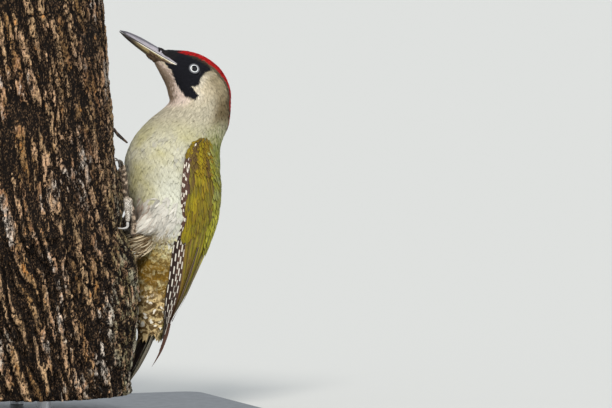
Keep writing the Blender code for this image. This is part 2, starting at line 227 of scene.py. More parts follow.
# Cross-sections of a vane, anticlockwise as seen from its tip: across it, and up from it
THIN = np.array([(1.0, 0.0), (0.0, 1.0), (-1.0, 0.0)])
BROAD = np.array([(1.0, 0.0), (0.55, 0.75), (0.0, 1.0), (-0.55, 0.75), (-1.0, 0.0), (0.0, -0.1)])
# The side of a small feather's square on the flat map
MAP_PATCH = 0.003


def vanes(name, path, out, half, crown, colours, place=None, luck=None, section=THIN, mirror=1.0, tilt=0.0):
    """Joined closed vanes. path and out are (vanes, steps, 3); half and crown are (vanes, steps).

    half is the half width, and crown how far the middle stands up. place is where each vane lies on the flat
    map. luck is drawn here unless it is given.
    """
    if luck is None:
        luck = chance.uniform(0, 1, len(path))
    colours = with_bars(colours)
    count, steps = path.shape[:2]
    along = unit(np.gradient(path, axis=1))
    side = unit(np.cross(out, along))
    up = np.cross(along, side)
    across, height = section[:, 0], section[:, 1]
    points = (
        path[:, :, None]
        + side[:, :, None] * (half[:, :, None] * across)[..., None]
        + up[:, :, None] * (crown[:, :, None] * height - tilt * mirror * across)[..., None]
    )
    corners = len(section)
    first = np.arange(count)[:, None, None] * steps * corners
    ring = np.arange(steps - 1)[None, :, None] * corners
    here = np.arange(corners)[None, None, :]
    a, b = first + ring + here, first + ring + (here + 1) % corners
    quads = np.stack([a, b, b + corners, a + corners], axis=-1).reshape(-1, 4)
    starts = first[:, 0] + here[0]
    root_caps, tip_caps = starts[:, ::-1], starts + (steps - 1) * corners
    share = np.linspace(0, 1, steps)[None, :, None]
    marks = np.broadcast_arrays(across[None, None, :] * mirror, share, luck.reshape(count, -1, 1))
    marks = np.stack(marks, axis=-1).reshape(-1, 3)
    if colours.ndim == 2:
        colours = np.broadcast_to(colours[:, None], (count, steps, 4))
    colours = np.broadcast_to(colours[:, :, None], (count, steps, corners, 4)).reshape(-1, 4)
    bake_map = None
    if place is not None:
        spread = np.stack(np.broadcast_arrays(across[None, None, :] * 0.5, share - 0.5), axis=-1)
        bake_map = (place[:, None, None] + spread * MAP_PATCH).reshape(-1, 2)
    piece = make_mesh(name, points.reshape(-1, 3), [quads, root_caps, tip_caps], colours, marks, bake_map)
    piece.data.shade_smooth()
    piece.data.set_sharp_from_angle(angle=math.radians(60))
    return piece


def lay(surface, along, angle, turn, length, steps, grow):
    """Paths down a surface from their roots, turned by so many degrees. grow is (vanes, steps)."""
    path, outs = [], []
    turn = np.radians(turn)
    for k in range(steps):
        ring_step, degree_step, out = steps_at(surface, along, angle, grow[:, k])
        path.append(surface(along, angle, grow[:, k]))
        outs.append(out)
        step = length / (steps - 1)
        along = along + np.cos(turn) * step / ring_step
        angle = angle + np.sin(turn) * step / degree_step
    return np.stack(path, 1), np.stack(outs, 1)


def outline(steps, widest=0.55, blunt=0.35, root=0.35):
    """A vane's half width along it, as shares: narrow at the root and rounded at the tip."""
    t = np.linspace(0, 1, steps)
    grown = root + (1 - root) * np.sin(np.pi / 2 * np.clip(t / widest, 0, 1))
    closing = np.sqrt(np.clip(1 - (np.clip(t - widest, 0, 1) / (1 - widest)) ** 2, 0, 1))
    return grown * np.maximum(closing, blunt * 0.25)


def rows_of_roots(first, last, spacing_at, surface=body, low=-180.0, high=180.0):
    """Staggered rows of roots over a stretch of a surface: arrays of ring and of angle."""
    samples, row_step, stray = 73, 0.87, 0.3
    alongs, angles = [], []
    along, odd = first, 0
    while along < last:
        spacing = float(spacing_at(along))
        around = np.linspace(low, high, samples)
        ring = surface(np.full(samples, along), around, np.zeros(samples))
        reach = np.concatenate([[0], np.cumsum(np.linalg.norm(np.diff(ring, axis=0), axis=1))])
        many = max(int(reach[-1] / spacing), 2)
        places = (np.arange(many) + 0.5 * odd) / many * reach[-1]
        angle = np.interp(places, reach, around)
        ring_step = steps_at(surface, np.full(many, along), angle, np.zeros(many))[0]
        alongs.append(np.full(many, along) + chance.uniform(-stray, stray, many) * spacing / ring_step)
        angles.append(angle + chance.uniform(-stray, stray, many) * spacing / reach[-1] * (high - low))
        along += row_step * spacing / float(np.median(ring_step))
        odd = 1 - odd
    return np.concatenate(alongs), np.concatenate(angles)


# --- Materials ----------------------------------------------------------------
class Value:
    """A value that varies over a surface. Arithmetic on it adds Math nodes."""

    def __init__(self, tree, socket):
        self.tree, self.socket = tree, socket

    def math(self, operation, *others):
        node = self.tree.nodes.new("ShaderNodeMath")
        node.operation = operation
        for socket, value in zip(node.inputs, (self, *others)):
            connect(self.tree, socket, value)
        return Value(self.tree, node.outputs[0])

    def __add__(self, other):
        return self.math("ADD", other)

    def __mul__(self, other):
        return self.math("MULTIPLY", other)

    def __sub__(self, other):
        return self.math("SUBTRACT", other)

    def __rsub__(self, other):
        return self * -1.0 + other

    def __truediv__(self, other):
        return self.math("DIVIDE", other)

    def __pow__(self, other):
        return self.math("POWER", other)

    __radd__, __rmul__ = __add__, __mul__

    def ramp(self, low, high):
        """0 below low and 1 above high, with a smooth rise between; low may be the greater."""
        node = self.tree.nodes.new("ShaderNodeMapRange")
        node.interpolation_type = "SMOOTHSTEP"
        for socket, value in zip(node.inputs, (self, low, high, 0.0, 1.0)):
            connect(self.tree, socket, value)
        return Value(self.tree, node.outputs[0])

    def wave(self):
        """Between -1 and 1, one wave for each whole number."""
        return (self * (2 * math.pi)).math("SINE")


def connect(tree, socket, value):
    if isinstance(value, Value):
        tree.links.new(value.socket, socket)
    elif isinstance(value, tuple) and len(value) == 3 and len(socket.default_value) == 4:
        socket.default_value = (*value, 1.0)
    else:
        socket.default_value = value


class Paint:
    """A Principled material and the nodes that feed it. Constants go on the shader's own sockets."""

    def __init__(self, name, **constants):
        self.material = bpy.data.materials.new(name)
        self.material.use_nodes = True
        self.tree = self.material.node_tree
        self.shader = self.tree.nodes["Principled BSDF"]
        for setting, value in constants.items():
            self.set(setting.replace("_", " ").title().replace("Ior", "IOR"), value)
        self.here = self.node("ShaderNodeTexCoord", output="Object")

    def set(self, socket, value):
        connect(self.tree, self.shader.inputs[socket], value)

    def node(self, kind, settings=None, output=0, inputs=None):
        node = self.tree.nodes.new(kind)
        for name, setting in (settings or {}).items():
            setattr(node, name, setting)
        for name, value in (inputs or {}).items():
            connect(self.tree, node.inputs[name], value)
        return Value(self.tree, node.outputs[output])

    def attribute(self, name, output):
        return self.node("ShaderNodeAttribute", {"attribute_name": name}, output)

    def parts(self, vector):
        node = self.tree.nodes.new("ShaderNodeSeparateXYZ")
        connect(self.tree, node.inputs[0], vector)
        return [Value(self.tree, socket) for socket in node.outputs]

    def vector(self, operation, *inputs):
        return self.node("ShaderNodeVectorMath", {"operation": operation}, 0, dict(enumerate(inputs)))

    def noise(self, where, detail=3.0, roughness=0.55, distortion=0.0):
        shape = {"Detail": detail, "Roughness": roughness, "Distortion": distortion}
        return self.node("ShaderNodeTexNoise", None, "Fac", {"Vector": where, "Scale": 1.0, **shape})

    def grain(self, density, *shape):
        """Noise with so many grains to a metre, either the same all ways or given along x, y and z."""
        density = density if isinstance(density, tuple) else (density,) * 3
        return self.noise(self.vector("MULTIPLY", self.here, density), *shape)

    def mix(self, share, a, b):
        return self.node("ShaderNodeMix", {"data_type": "RGBA"}, 2, {0: share, 6: a, 7: b})

    def brighten(self, colour, by):
        """The colour times a varying number."""
        return self.node("ShaderNodeVectorMath", {"operation": "SCALE"}, 0, {0: colour, "Scale": by})

    def bump(self, height, distance):
        inputs = {"Height": height, "Distance": distance * MM, "Strength": 1.0}
        self.set("Normal", self.node("ShaderNodeBump", None, 0, inputs))


def feather_paint():
    """Barbs slant out from a shaft, over the colour that the vane's points carry. The root lies in shade."""
    barbs, contrast, shaft = 9.0, 0.19, 0.06
    paint = Paint("Body feathers", roughness=0.75, specular_ior_level=0.15)
    across, along, luck = paint.parts(paint.attribute("vane", "Vector"))
    off = across.math("ABSOLUTE")
    comb = (along * barbs + off * -1.6 + luck * 7.0).wave() * 0.5 + 0.5
    frayed = paint.grain(900.0, 2.0)
    streak = comb * 0.55 + frayed * 0.9
    in_shade = 0.80 + along.ramp(0.25, 0.75) * 0.20
    rachis = 1.0 - off.ramp(0.16, 0.02) * shaft
    shade = (streak * contrast + (1.0 - 0.72 * contrast)) * in_shade * rachis
    colour = paint.brighten(paint.attribute("tint", "Color"), shade)
    bars = ((along - off * 0.20 + luck * 0.3) * 2.3).wave()
    barred = paint.attribute("tint", "Alpha") * bars.ramp(0.0, 0.6) * along.ramp(0.3, 0.5)
    paint.set("Base Color", paint.mix(barred, colour, (0.05, 0.03, 0.010)))
    paint.bump(comb * 0.6 + frayed * 0.5 + off.ramp(0.3, 0.0) * 0.6, 0.08)
    return paint.material


# --- Markings of the body -----------------------------------------------------
CHEEK, CHEEK_DULL, NAPE = (0.58, 0.49, 0.34), (0.31, 0.25, 0.15), (0.15, 0.11, 0.055)
CHEEK_WHITE, CROWN_RIM = (0.74, 0.67, 0.54), (0.045, 0.030, 0.018)
THROAT, CHIN, NECK = (0.76, 0.61, 0.52), (0.27, 0.185, 0.12), (0.45, 0.40, 0.29)
BREAST, BREAST_YELLOW, BREAST_SHADE_GREY = (0.58, 0.55, 0.42), (0.50, 0.46, 0.25), (0.40, 0.38, 0.34)
BREAST_TOP = (0.44, 0.40, 0.24)
FLANK, BELLY, BELLY_SHADE = (0.63, 0.62, 0.50), (0.72, 0.69, 0.62), (0.42, 0.35, 0.27)
VENT_PALE, VENT = (0.74, 0.69, 0.40), (0.31, 0.195, 0.035)
UNDERTAIL, UNDERTAIL_PALE = (0.19, 0.10, 0.010), (0.68, 0.50, 0.25)
MANTLE, MANTLE_GREY, MANTLE_YELLOW = (0.22, 0.22, 0.020), (0.21, 0.23, 0.085), (0.50, 0.47, 0.022)
RUMP, RUMP_END = (0.50, 0.46, 0.03), (0.07, 0.055, 0.015)
BLACK, FOREHEAD = (0.006, 0.006, 0.009), (0.010, 0.009, 0.010)
CROWN, CROWN_DARK = (0.42, 0.003, 0.003), (0.10, 0.008, 0.010)

# Side view of the black mask, as x and z: over the eye, behind it, the notch below it, and the moustache
MASK = np.array(
    [
        (73.5, 263.5), (78.0, 268.0), (91.9, 265.3), (98.5, 262.6), (103.4, 258.8),
        (106.9, 253.8), (101.6, 252.0), (97.4, 248.8), (95.4, 243.8), (92.9, 241.2),
        (89.4, 242.2), (91.0, 239.2), (95.0, 235.2), (91.6, 231.8), (85.4, 234.6),
        (81.7, 240.0), (78.1, 247.3), (76.0, 253.9), (72.0, 258.5),
    ]
)
# Ring, and the angle from the back's middle line at which the red crown ends
CROWN_EDGE = np.array(
    [
        (0.9, 26), (1.4, 42), (2.1, 41), (2.8, 42), (3.4, 40), (4.2, 37),
        (4.7, 30), (5.7, 29), (6.3, 22), (6.8, 19), (7.3, 16), (7.5, 0),
    ]
)


def inside(x, z, shape):
    """How far a side-view point lies inside a closed outline, in millimetres; negative outside it."""
    nearest, odd = np.full(x.shape, 1e9), np.zeros(x.shape, bool)
    for (x0, z0), (x1, z1) in zip(shape, np.roll(shape, -1, axis=0)):
        t = np.clip(((x - x0) * (x1 - x0) + (z - z0) * (z1 - z0)) / ((x1 - x0) ** 2 + (z1 - z0) ** 2), 0, 1)
        nearest = np.minimum(nearest, np.hypot(x - x0 - t * (x1 - x0), z - z0 - t * (z1 - z0)))
        crosses = (z0 > z) != (z1 > z)
        with np.errstate(divide="ignore"):
            odd ^= crosses & (x < (x1 - x0) * (z - z0) / (z1 - z0 + 1e-12) + x0)
    return np.where(odd, nearest, -nearest)


def rise(value, low, high):
    """0 below low and 1 above high, smooth between."""
    t = np.clip((value - low) / (high - low), 0, 1)
    return t * t * (3 - 2 * t)


def blend(share, a, b):
    return np.asarray(a) * (1 - share[:, None]) + np.asarray(b) * share[:, None]


def waves(places, size, seed):
    """Soft random patches between -1 and 1, so many millimetres across."""
    draw = np.random.default_rng(seed)
    total = np.zeros(len(places))
    for _ in range(7):
        direction = unit(draw.normal(size=3)) * draw.uniform(0.6, 1.6) * 2 * math.pi / size
        total += np.sin(places @ direction + draw.uniform(0, 6.3))
    return np.clip(total / 3.2, -1, 1)


def head_and_neck(ring, off, fleck):
    colour = blend(rise(off, 60, 95), CHEEK_DULL, CHEEK)
    colour = blend(rise(ring, 4.6, 6.0) * rise(off, 95, 50), colour, NAPE)
    colour = blend(rise(off + 6 * fleck, 112, 132) * rise(ring, 6.2, 4.4), colour, THROAT)
    colour = blend(rise(off + 12 * fleck, 142, 168) * rise(ring, 5.4, 3.8), colour, CHIN)
    colour = blend(rise(off + 10 * fleck, 118, 145) * rise(ring, 3.1, 2.1) * 0.75, colour, CHIN)
    return blend(rise(ring, 4.4, 6.0) * rise(off, 60, 85), colour, NECK)


def breast(ring, off, fleck, broad, small):
    colour = blend(np.clip(0.5 + 0.5 * broad + 0.3 * small, 0, 1), BREAST, BREAST_YELLOW)
    # Grey patches at random: painted soft shade among the breast's feathers.
    colour = blend(rise(0.7 * small - broad + 0.5 * fleck, 0.55, 1.3) * 0.8, colour, BREAST_SHADE_GREY)
    colour = blend(rise(off, 150, 110) * rise(ring, 8.6, 10.5), colour, FLANK)
    return blend(rise(ring, 8.6, 7.2) * 0.7, colour, BREAST_TOP)


def vent(ring, off, fleck, small):
    pale = rise(off, 150, 112) * rise(ring, 14.0, 12.6) + rise(small + 0.4 * fleck, 0.3, 0.9) * 0.6
    colour = blend(rise(ring, 13.0, 14.2), VENT, UNDERTAIL)
    colour = blend(np.clip(pale, 0, 1) * 0.8, colour, VENT_PALE)
    return blend(rise(ring + 0.3 * fleck, 14.6, 15.2) * 0.9, colour, UNDERTAIL_PALE)


def back(ring, places, fleck):
    mottle = np.clip(0.5 + 0.5 * waves(places, 14, 9) + 0.4 * fleck, 0, 1)
    colour = blend(mottle, MANTLE, MANTLE_GREY)
    colour = blend(rise(ring + 0.4 * fleck, 9.7, 11.8) * 0.8, colour, MANTLE_YELLOW)
    colour = blend(rise(ring, 12.6, 13.4), colour, RUMP)
    return blend(rise(ring + 0.3 * fleck, 15.4, 16.4), colour, RUMP_END)


def with_mask_and_crown(colour, ring, off, places, fleck):
    x, z = places[:, 0], places[:, 2]
    deep = inside(x, z, MASK)
    white = rise(deep, -6.0, -0.5) * rise(z, 254, 247) * rise(off, 118, 104) * 0.6
    colour = blend(white, colour, CHEEK_WHITE)
    colour = blend(rise(deep + 0.35 * fleck, -0.3, 0.3) * rise(ring, 6.0, 5.4), colour, BLACK)
    edge = np.interp(ring, CROWN_EDGE[:, 0], CROWN_EDGE[:, 1], left=0, right=0)
    beside = rise(off + 2 * fleck, edge + 14, edge + 6) * rise(ring, 1.6, 2.2) * rise(ring, 7.0, 6.2)
    colour = blend(beside * 0.8, colour, CROWN_RIM)
    crown = blend(rise(fleck, 0.55, 0.95), CROWN, CROWN_DARK)
    colour = blend(rise(edge - off + 2.5 * fleck, -2.5, 2.5) * rise(ring, 7.6, 7.3), colour, crown)
    return blend(rise(ring + 0.15 * fleck, 1.35, 1.0) * rise(off, 110, 80), colour, FOREHEAD)


def markings(ring, angle, places, fleck):
    """The plumage's colour at places on the body. fleck is the luck of the feather there, from -1 to 1."""
    off = off_axis(angle)
    broad, small = waves(places, 30, 5), waves(places, 9, 6)
    colour = head_and_neck(ring, off, fleck)
    colour = blend(rise(ring, 6.4, 7.6), colour, breast(ring, off, fleck, broad, small))
    belly = blend(rise(small + 0.6 * fleck, 0.2, 1.2), BELLY, BELLY_SHADE)
    colour = blend(rise(ring, 11.0, 12.0) * rise(off, 95, 120), colour, belly)
    behind = ring + 0.35 * fleck + 0.5 * rise(off, 110, 150)
    colour = blend(rise(behind, 12.6, 13.2), colour, vent(ring, off, fleck, small))
    above = rise(off + 9 * fleck, 82, 66) * rise(ring + 0.45 * fleck, 6.9, 8.3)
    colour = blend(above, colour, back(ring, places, fleck))
    return np.clip(with_mask_and_crown(colour, ring, off, places, fleck), 0, 1)


# --- Skin ---------------------------------------------------------------------
# Ring, then the spacing of the feathers' roots, their length and half width, and the depth of the coat there
COAT = np.array(
    [
        (0.0, 0.85, 2.4, 0.40, 0.7),
        (1.0, 0.90, 3.2, 0.45, 0.9),
        (2.0, 1.00, 4.2, 0.52, 1.0),
        (3.5, 1.15, 5.5, 0.60, 1.3),
        (5.0, 1.35, 7.5, 0.80, 1.6),
        (6.5, 1.65, 9.5, 1.15, 2.0),
        (8.0, 1.90, 11.0, 1.40, 2.3),
        (10.0, 2.00, 12.0, 1.50, 2.4),
        (13.0, 2.10, 13.0, 1.55, 2.5),
        (16.0, 2.10, 13.0, 1.50, 2.4),
    ]
)
EYE_RING, EYE_ANGLE, EYE_RADIUS, EYE_PROUD = 2.88, 80.0, 5.0, 0.9
FLESH = ("head", "neck", "torso", "rump", "thigh_left", "thigh_right")


def coat_at(ring, column):
    return np.interp(ring, COAT[:, 0], COAT[:, column])


def copy_of(name, *nodes):
    """One new mesh object with the shapes of these CAD nodes, its doubled points merged."""
    bpy.ops.object.select_all(action="DESELECT")
    for node in nodes:
        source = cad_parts[node]
        copy = bpy.data.objects.new(name, source.data.copy())
        bpy.context.scene.collection.objects.link(copy)
        copy.select_set(True)
        bpy.context.view_layer.objects.active = copy
    if len(nodes) > 1:
        bpy.ops.object.join()
    piece = bpy.context.view_layer.objects.active
    piece.name = name
    face_outwards(piece, merge=True)
    return piece


def apply(piece, kind, **settings):
    """Adds a modifier and applies it."""
    bpy.context.view_layer.objects.active = piece
    modifier = piece.modifiers.new("shape", kind)
    for setting, value in settings.items():
        setattr(modifier, setting, value)
    bpy.ops.object.modifier_apply(modifier="shape")


def points_of(piece):
    places = np.empty(len(piece.data.vertices) * 3, np.float32)
    piece.data.vertices.foreach_get("co", places)
    return places.reshape(-1, 3).astype(float) / MM


def normals_of(piece):
    normals = np.empty(len(piece.data.vertices) * 3, np.float32)
    piece.data.vertices.foreach_get("normal", normals)
    return normals.reshape(-1, 3).astype(float)


def set_points(piece, places):
    piece.data.vertices.foreach_set("co", (places * MM).astype(np.float32).ravel())
    piece.data.update()


def tree_of(places):
    """A search tree that finds the nearest of these places."""
    tree = KDTree(len(places))
    for index, place in enumerate(places.tolist()):
        tree.insert(place, index)
    tree.balance()
    return tree


def where_on_body(places):
    """The nearest ring and angle of points near the body."""
    rings, angles = np.meshgrid(np.linspace(0, TAIL_ROOT, 321), np.arange(-180.0, 180.0, 2.5), indexing="ij")
    rings, angles = rings.ravel(), angles.ravel()
    tree = tree_of(body(rings, angles, np.zeros(rings.shape)))
    nearest = np.array([tree.find(place)[1] for place in places.tolist()])
    return rings[nearest], angles[nearest]


def eye_frame(side):
    """An eyeball's centre, and the directions out of it, to the bill and up."""
    at = np.array([EYE_RING]), np.array([EYE_ANGLE * side]), np.zeros(1)
    out = steps_at(body, *at)[2][0]
    centre = body(*at)[0] + out * (EYE_PROUD - EYE_RADIUS)
    to_bill = np.array([-1.0, 0.0, 0.3])
    forward = unit(to_bill - out * np.dot(out, to_bill))
    return centre, out, forward, np.cross(out, forward) * side


def unwrap(ring, angle):
    """The skin's own flat map: round the body across it, and along the body up it."""
    across = angle / 360 % 1.0 * 0.9 + 0.05
    return np.stack([across, 0.95 - np.clip(ring / TAIL_ROOT, -0.05, 1.2) * 0.75], axis=-1)


def map_skin(mesh, ring, angle):
    """Gives the skin its flat map. A face that would run across the map's seam is kept on one side of it."""
    corners = np.empty(len(mesh.loops), np.int32)
    mesh.loops.foreach_get("vertex_index", corners)
    starts = np.empty(len(mesh.polygons), np.int32)
    mesh.polygons.foreach_get("loop_start", starts)
    flat = unwrap(ring, angle % 360)[corners]
    face = np.searchsorted(starts, np.arange(len(corners)), side="right") - 1
    torn = flat[:, 0] - flat[starts[face], 0]
    flat[:, 0] -= np.where(np.abs(torn) > 0.5, np.sign(torn) * 0.9, 0)
    while mesh.uv_layers:
        mesh.uv_layers.remove(mesh.uv_layers[0])
    set_bake_map(mesh, flat)


def add_skin():
    """One skin over all the flesh, sunk under the coat by the depth of the feathers there."""
    overlap, voxel, gap, gap_shade = 0.4, 1.0, 0.6, 0.8
    skin = copy_of("skin", *FLESH)
    bpy.ops.object.mode_set(mode="EDIT")
    bpy.ops.mesh.select_all(action="SELECT")
    bpy.ops.transform.shrink_fatten(value=overlap * MM)
    bpy.ops.object.mode_set(mode="OBJECT")
    apply(skin, "REMESH", mode="VOXEL", voxel_size=voxel * MM)
    ring, angle = where_on_body(points_of(skin))
    set_points(skin, points_of(skin) - normals_of(skin) * (coat_at(ring, 4) + gap)[:, None])
    apply(skin, "SMOOTH", factor=0.5, iterations=6)
    ring, angle = where_on_body(points_of(skin))
    # The skin takes the plumage's colours, darkened as painted shade for where it shows between the
    # feathers.
    set_tint(skin.data, markings(ring, angle, points_of(skin), chance.uniform(-1, 1, len(ring))) * gap_shade)
    map_skin(skin.data, ring, angle)
    skin.data.shade_smooth()
    paint = Paint("Skin", roughness=0.75)
    pores = paint.grain(700.0)
    paint.set("Base Color", paint.brighten(paint.attribute("tint", "Color"), pores * 0.5 + 0.6))
    paint.bump(pores, 0.3)
    finish_piece(skin, paint.material, "pale_plumage", *FLESH)


# --- Where the bill is bare ---------------------------------------------------
BILL_TIP, BILL_SLOPE = (39.4, 0.0, 282.4), math.radians(30.9)
BILL_COSINE, BILL_SINE = math.cos(BILL_SLOPE), math.sin(BILL_SLOPE)
# The corner of the mouth, along the bill
GAPE_END = 46.8


def on_bill(places):
    """Side-view places measured from the bill's tip: along the bill, and up from the line of the mouth."""
    x, z = places[..., 0] - BILL_TIP[0], places[..., 2] - BILL_TIP[2]
    return x * BILL_COSINE - z * BILL_SINE, x * BILL_SINE + z * BILL_COSINE


def bare_top(along):
    return np.interp(along, (32.5, 37.0, 41.3, GAPE_END), (3.2, 2.2, 1.4, 0.2))


def bare_foot(along):
    return np.interp(along, (26.3, 34.0, 41.0, GAPE_END), (-5.7, -3.8, -2.1, -0.6))


# --- Coat of the body ---------------------------------------------------------
# Each piece's name, and the rings it starts and ends at
COAT_PIECES = (
    ("coat_head", 0.15, 3.6),
    ("coat_neck", 3.6, 7.4),
    ("coat_breast", 7.4, 11.8),
    ("coat_belly", 11.8, 16.8),
)


def barring(ring, angle):
    """How strongly the feathers of the vent and under the tail are barred."""
    off = off_axis(angle)
    strength = rise(ring + chance.uniform(-0.5, 0.5, len(ring)), 12.4, 13.4) * rise(off, 62, 80)
    return strength * chance.uniform(0.2, 0.7, len(ring))


def is_feathered(ring, angle):
    """False at the eyes, at the bare sides of the bill, and where the vent has feathers of its own."""
    places = body(ring, angle, np.zeros(len(ring)))
    keep = (ring < 12.8) | (np.abs(angle) < 86)
    for side in SIDES.values():
        keep &= np.linalg.norm(places - eye_frame(side)[0], axis=1) > EYE_RADIUS + 0.2
    along, high = on_bill(places)
    return keep & ((along > GAPE_END) | (high > bare_top(along)) | (high < bare_foot(along)))


def add_body_coat(material):
    steps = 5
    share = np.linspace(0, 1, steps)
    for name, first, last in COAT_PIECES:
        ring, angle = rows_of_roots(first, last, lambda at: coat_at(at, 1), plumage)
        keep = is_feathered(ring, angle)
        ring, angle = ring[keep], angle[keep]
        count = len(ring)
        length = coat_at(ring, 2) * chance.uniform(0.8, 1.15, count) * (1 - 0.45 * rise(ring, 15.2, 16.6))
        lift = chance.uniform(-0.10, 0.02, count)[:, None]
        grow = coat_at(ring, 4)[:, None] * (lift - (1 - share) ** 1.3)
        path, outs = lay(plumage, ring, angle, chance.normal(0, 5, count), length, steps, grow)
        there = (ring[:, None] + share * length[:, None] / 16).ravel()
        fleck = np.repeat(chance.uniform(-1, 1, count), steps)
        colours = markings(there, np.repeat(angle, steps), path.reshape(-1, 3), fleck)
        uneven = np.interp(ring, (2.5, 3.5, 5.5, 6.5), (0.07, 0.12, 0.11, 0.06))[:, None, None]
        uneven = 1 + chance.normal(0, 1, (count, 1, 1)) * uneven
        colours = np.clip(colours.reshape(count, steps, 3) * uneven, 0, 1)
        bars = np.broadcast_to(barring(ring, angle)[:, None, None], (count, steps, 1))
        colours = np.concatenate([colours, bars], -1)
        half = coat_at(ring, 3)[:, None] * outline(steps) * chance.uniform(0.85, 1.15, count)[:, None]
        piece = vanes(name, path, outs, half, half * 0.17, colours, unwrap(ring, angle % 360))
        finish_piece(piece, material, "pale_plumage")


# --- Thighs and the feathers that hang over them ------------------------------
# Places along the left thigh, from the hip to the top of the bare shank, and its radius there
THIGH = np.array(
    [
        (70.0, -15.0, 147.0, 11.5),
        (60.0, -17.5, 143.5, 9.5),
        (52.5, -18.0, 140.2, 6.2),
        (48.4, -17.5, 138.6, 3.6),
        (41.5, -17.5, 132.0, 1.4),
    ]
)
THIGH_PALE, THIGH_DARK, THIGH_PINK = (0.66, 0.62, 0.54), (0.20, 0.14, 0.08), (0.42, 0.29, 0.21)
TUFT_END = (0.36, 0.27, 0.12)
STRAND_PALE, STRAND_DARK = (0.80, 0.66, 0.44), (0.23, 0.15, 0.075)


def thigh_of(sign):
    """The surface of one thigh: places along it, degrees round it, and millimetres out of it."""
    rows = THIGH * (1, sign, 1, 1)

    def surface(along, angle, grow):
        at, ahead, behind = (between(rows, along + step) for step in (0, 0.05, -0.05))
        direction = unit(ahead[..., :3] - behind[..., :3])
        across = unit(np.cross(direction, np.broadcast_to([0.0, 0.0, 1.0], direction.shape)))
        turn = np.radians(angle)[..., None]
        out = np.cos(turn) * across + np.sin(turn) * np.cross(direction, across)
        return at[..., :3] + out * (at[..., 3] + grow)[..., None]

    return surface


def add_thigh_coat(side, sign, material):
    surface, steps = thigh_of(sign), 5
    along, angle = rows_of_roots(1.0, 3.0, lambda at: 1.7 - 0.2 * at, surface)
    count, share = len(along), np.linspace(0, 1, steps)
    length = np.interp(along, (0, 3), (9, 4)) * chance.uniform(0.8, 1.2, count)
    grow = -1.6 * (1 - share) ** 1.3 + chance.uniform(-0.5, 0.1, count)[:, None]
    path, outs = lay(surface, along, angle, chance.normal(0, 8, count), length, steps, grow)
    tint = blend(chance.uniform(0, 1, count) * rise(along, 0.5, 2.5), THIGH_PALE, THIGH_DARK)
    half = np.interp(along, (0, 3), (1.2, 0.6))[:, None] * outline(steps)
    place = np.stack([0.30 * (sign + 1) + 0.02 + angle % 360 / 1000, 0.02 + along / 30], -1)
    piece = vanes("coat_thigh_" + side, path, outs, half, half * 0.22, tint, place)
    finish_piece(piece, material, "pale_plumage")


def thigh_height(places, outs, sign):
    """How far out of the body's plumage the feathered thigh reaches at these places."""
    height = np.zeros(len(places))
    for x, y, z, radius in between(THIGH * (1, sign, 1, 1), np.linspace(0, 3.2, 17)):
        away = np.array([x, y, z]) - places
        ahead = (away * outs).sum(-1)
        inner = ahead**2 - (away**2).sum(-1) + radius**2
        height = np.maximum(height, np.where(inner > 0, ahead + np.sqrt(np.maximum(inner, 0)), 0))
    return height


def add_flank_tuft(side, sign, material):
    """Long soft feathers that sweep from the flank over the thigh."""
    steps = 8
    ring, off = rows_of_roots(10.6, 12.35, lambda at: 1.7, plumage, 96.0, 160.0)
    thick = np.interp(off, (96, 118), (0.25, 1)) * np.interp(ring, (10.6, 11.4), (0.4, 1))
    kept = chance.uniform(0, 1, len(ring)) < thick
    ring, off = ring[kept], off[kept]
    count = len(ring)
    along, angle = ring, off * sign
    length, lean = chance.uniform(8, 19, count), np.radians(sign * chance.normal(36, 13, count))
    lift, loft = np.zeros(count), chance.uniform(0.1, 0.9, count)
    path, outs = [], []
    for share in np.linspace(0, 1, steps):
        ring_step, degree_step, out = steps_at(plumage, along, angle, np.zeros(count))
        place = plumage(along, angle, np.zeros(count))
        lift = np.maximum(thigh_height(place, out, sign), lift - 1.3)
        path.append(place + out * (lift + loft - 1.9 * (1 - share) ** 1.4)[:, None])
        outs.append(out)
        along = along + np.cos(lean) * length / (steps - 1) / ring_step
        angle = angle + np.sin(lean) * length / (steps - 1) / degree_step
    path, outs = np.stack(path, 1), np.stack(outs, 1)
    path[:, 1:-1] = (path[:, :-2] + 2 * path[:, 1:-1] + path[:, 2:]) / 4
    pink = rise(off + 22 * chance.uniform(-1, 1, count), 128, 162) * 0.75
    tint = blend(pink, THIGH_PALE, THIGH_PINK)
    tint = tint * (1 + chance.normal(0, 0.10, count))[:, None]
    low_down = rise(path[:, :, 2] + chance.normal(0, 3, (count, 1)), 138, 128)[..., None] * 0.8
    tint = tint[:, None] * (1 - low_down) + np.array(TUFT_END) * low_down
    half = chance.uniform(0.8, 1.3, count)[:, None] * outline(steps, 0.5)
    place = np.stack([0.5 + sign * 0.3 + off / 1600, 0.02 + ring / 160], -1)
    piece = vanes("coat_flank_" + side, path, outs, half, half * 0.2, np.clip(tint, 0, 1), place)
    finish_piece(piece, material, "pale_plumage")


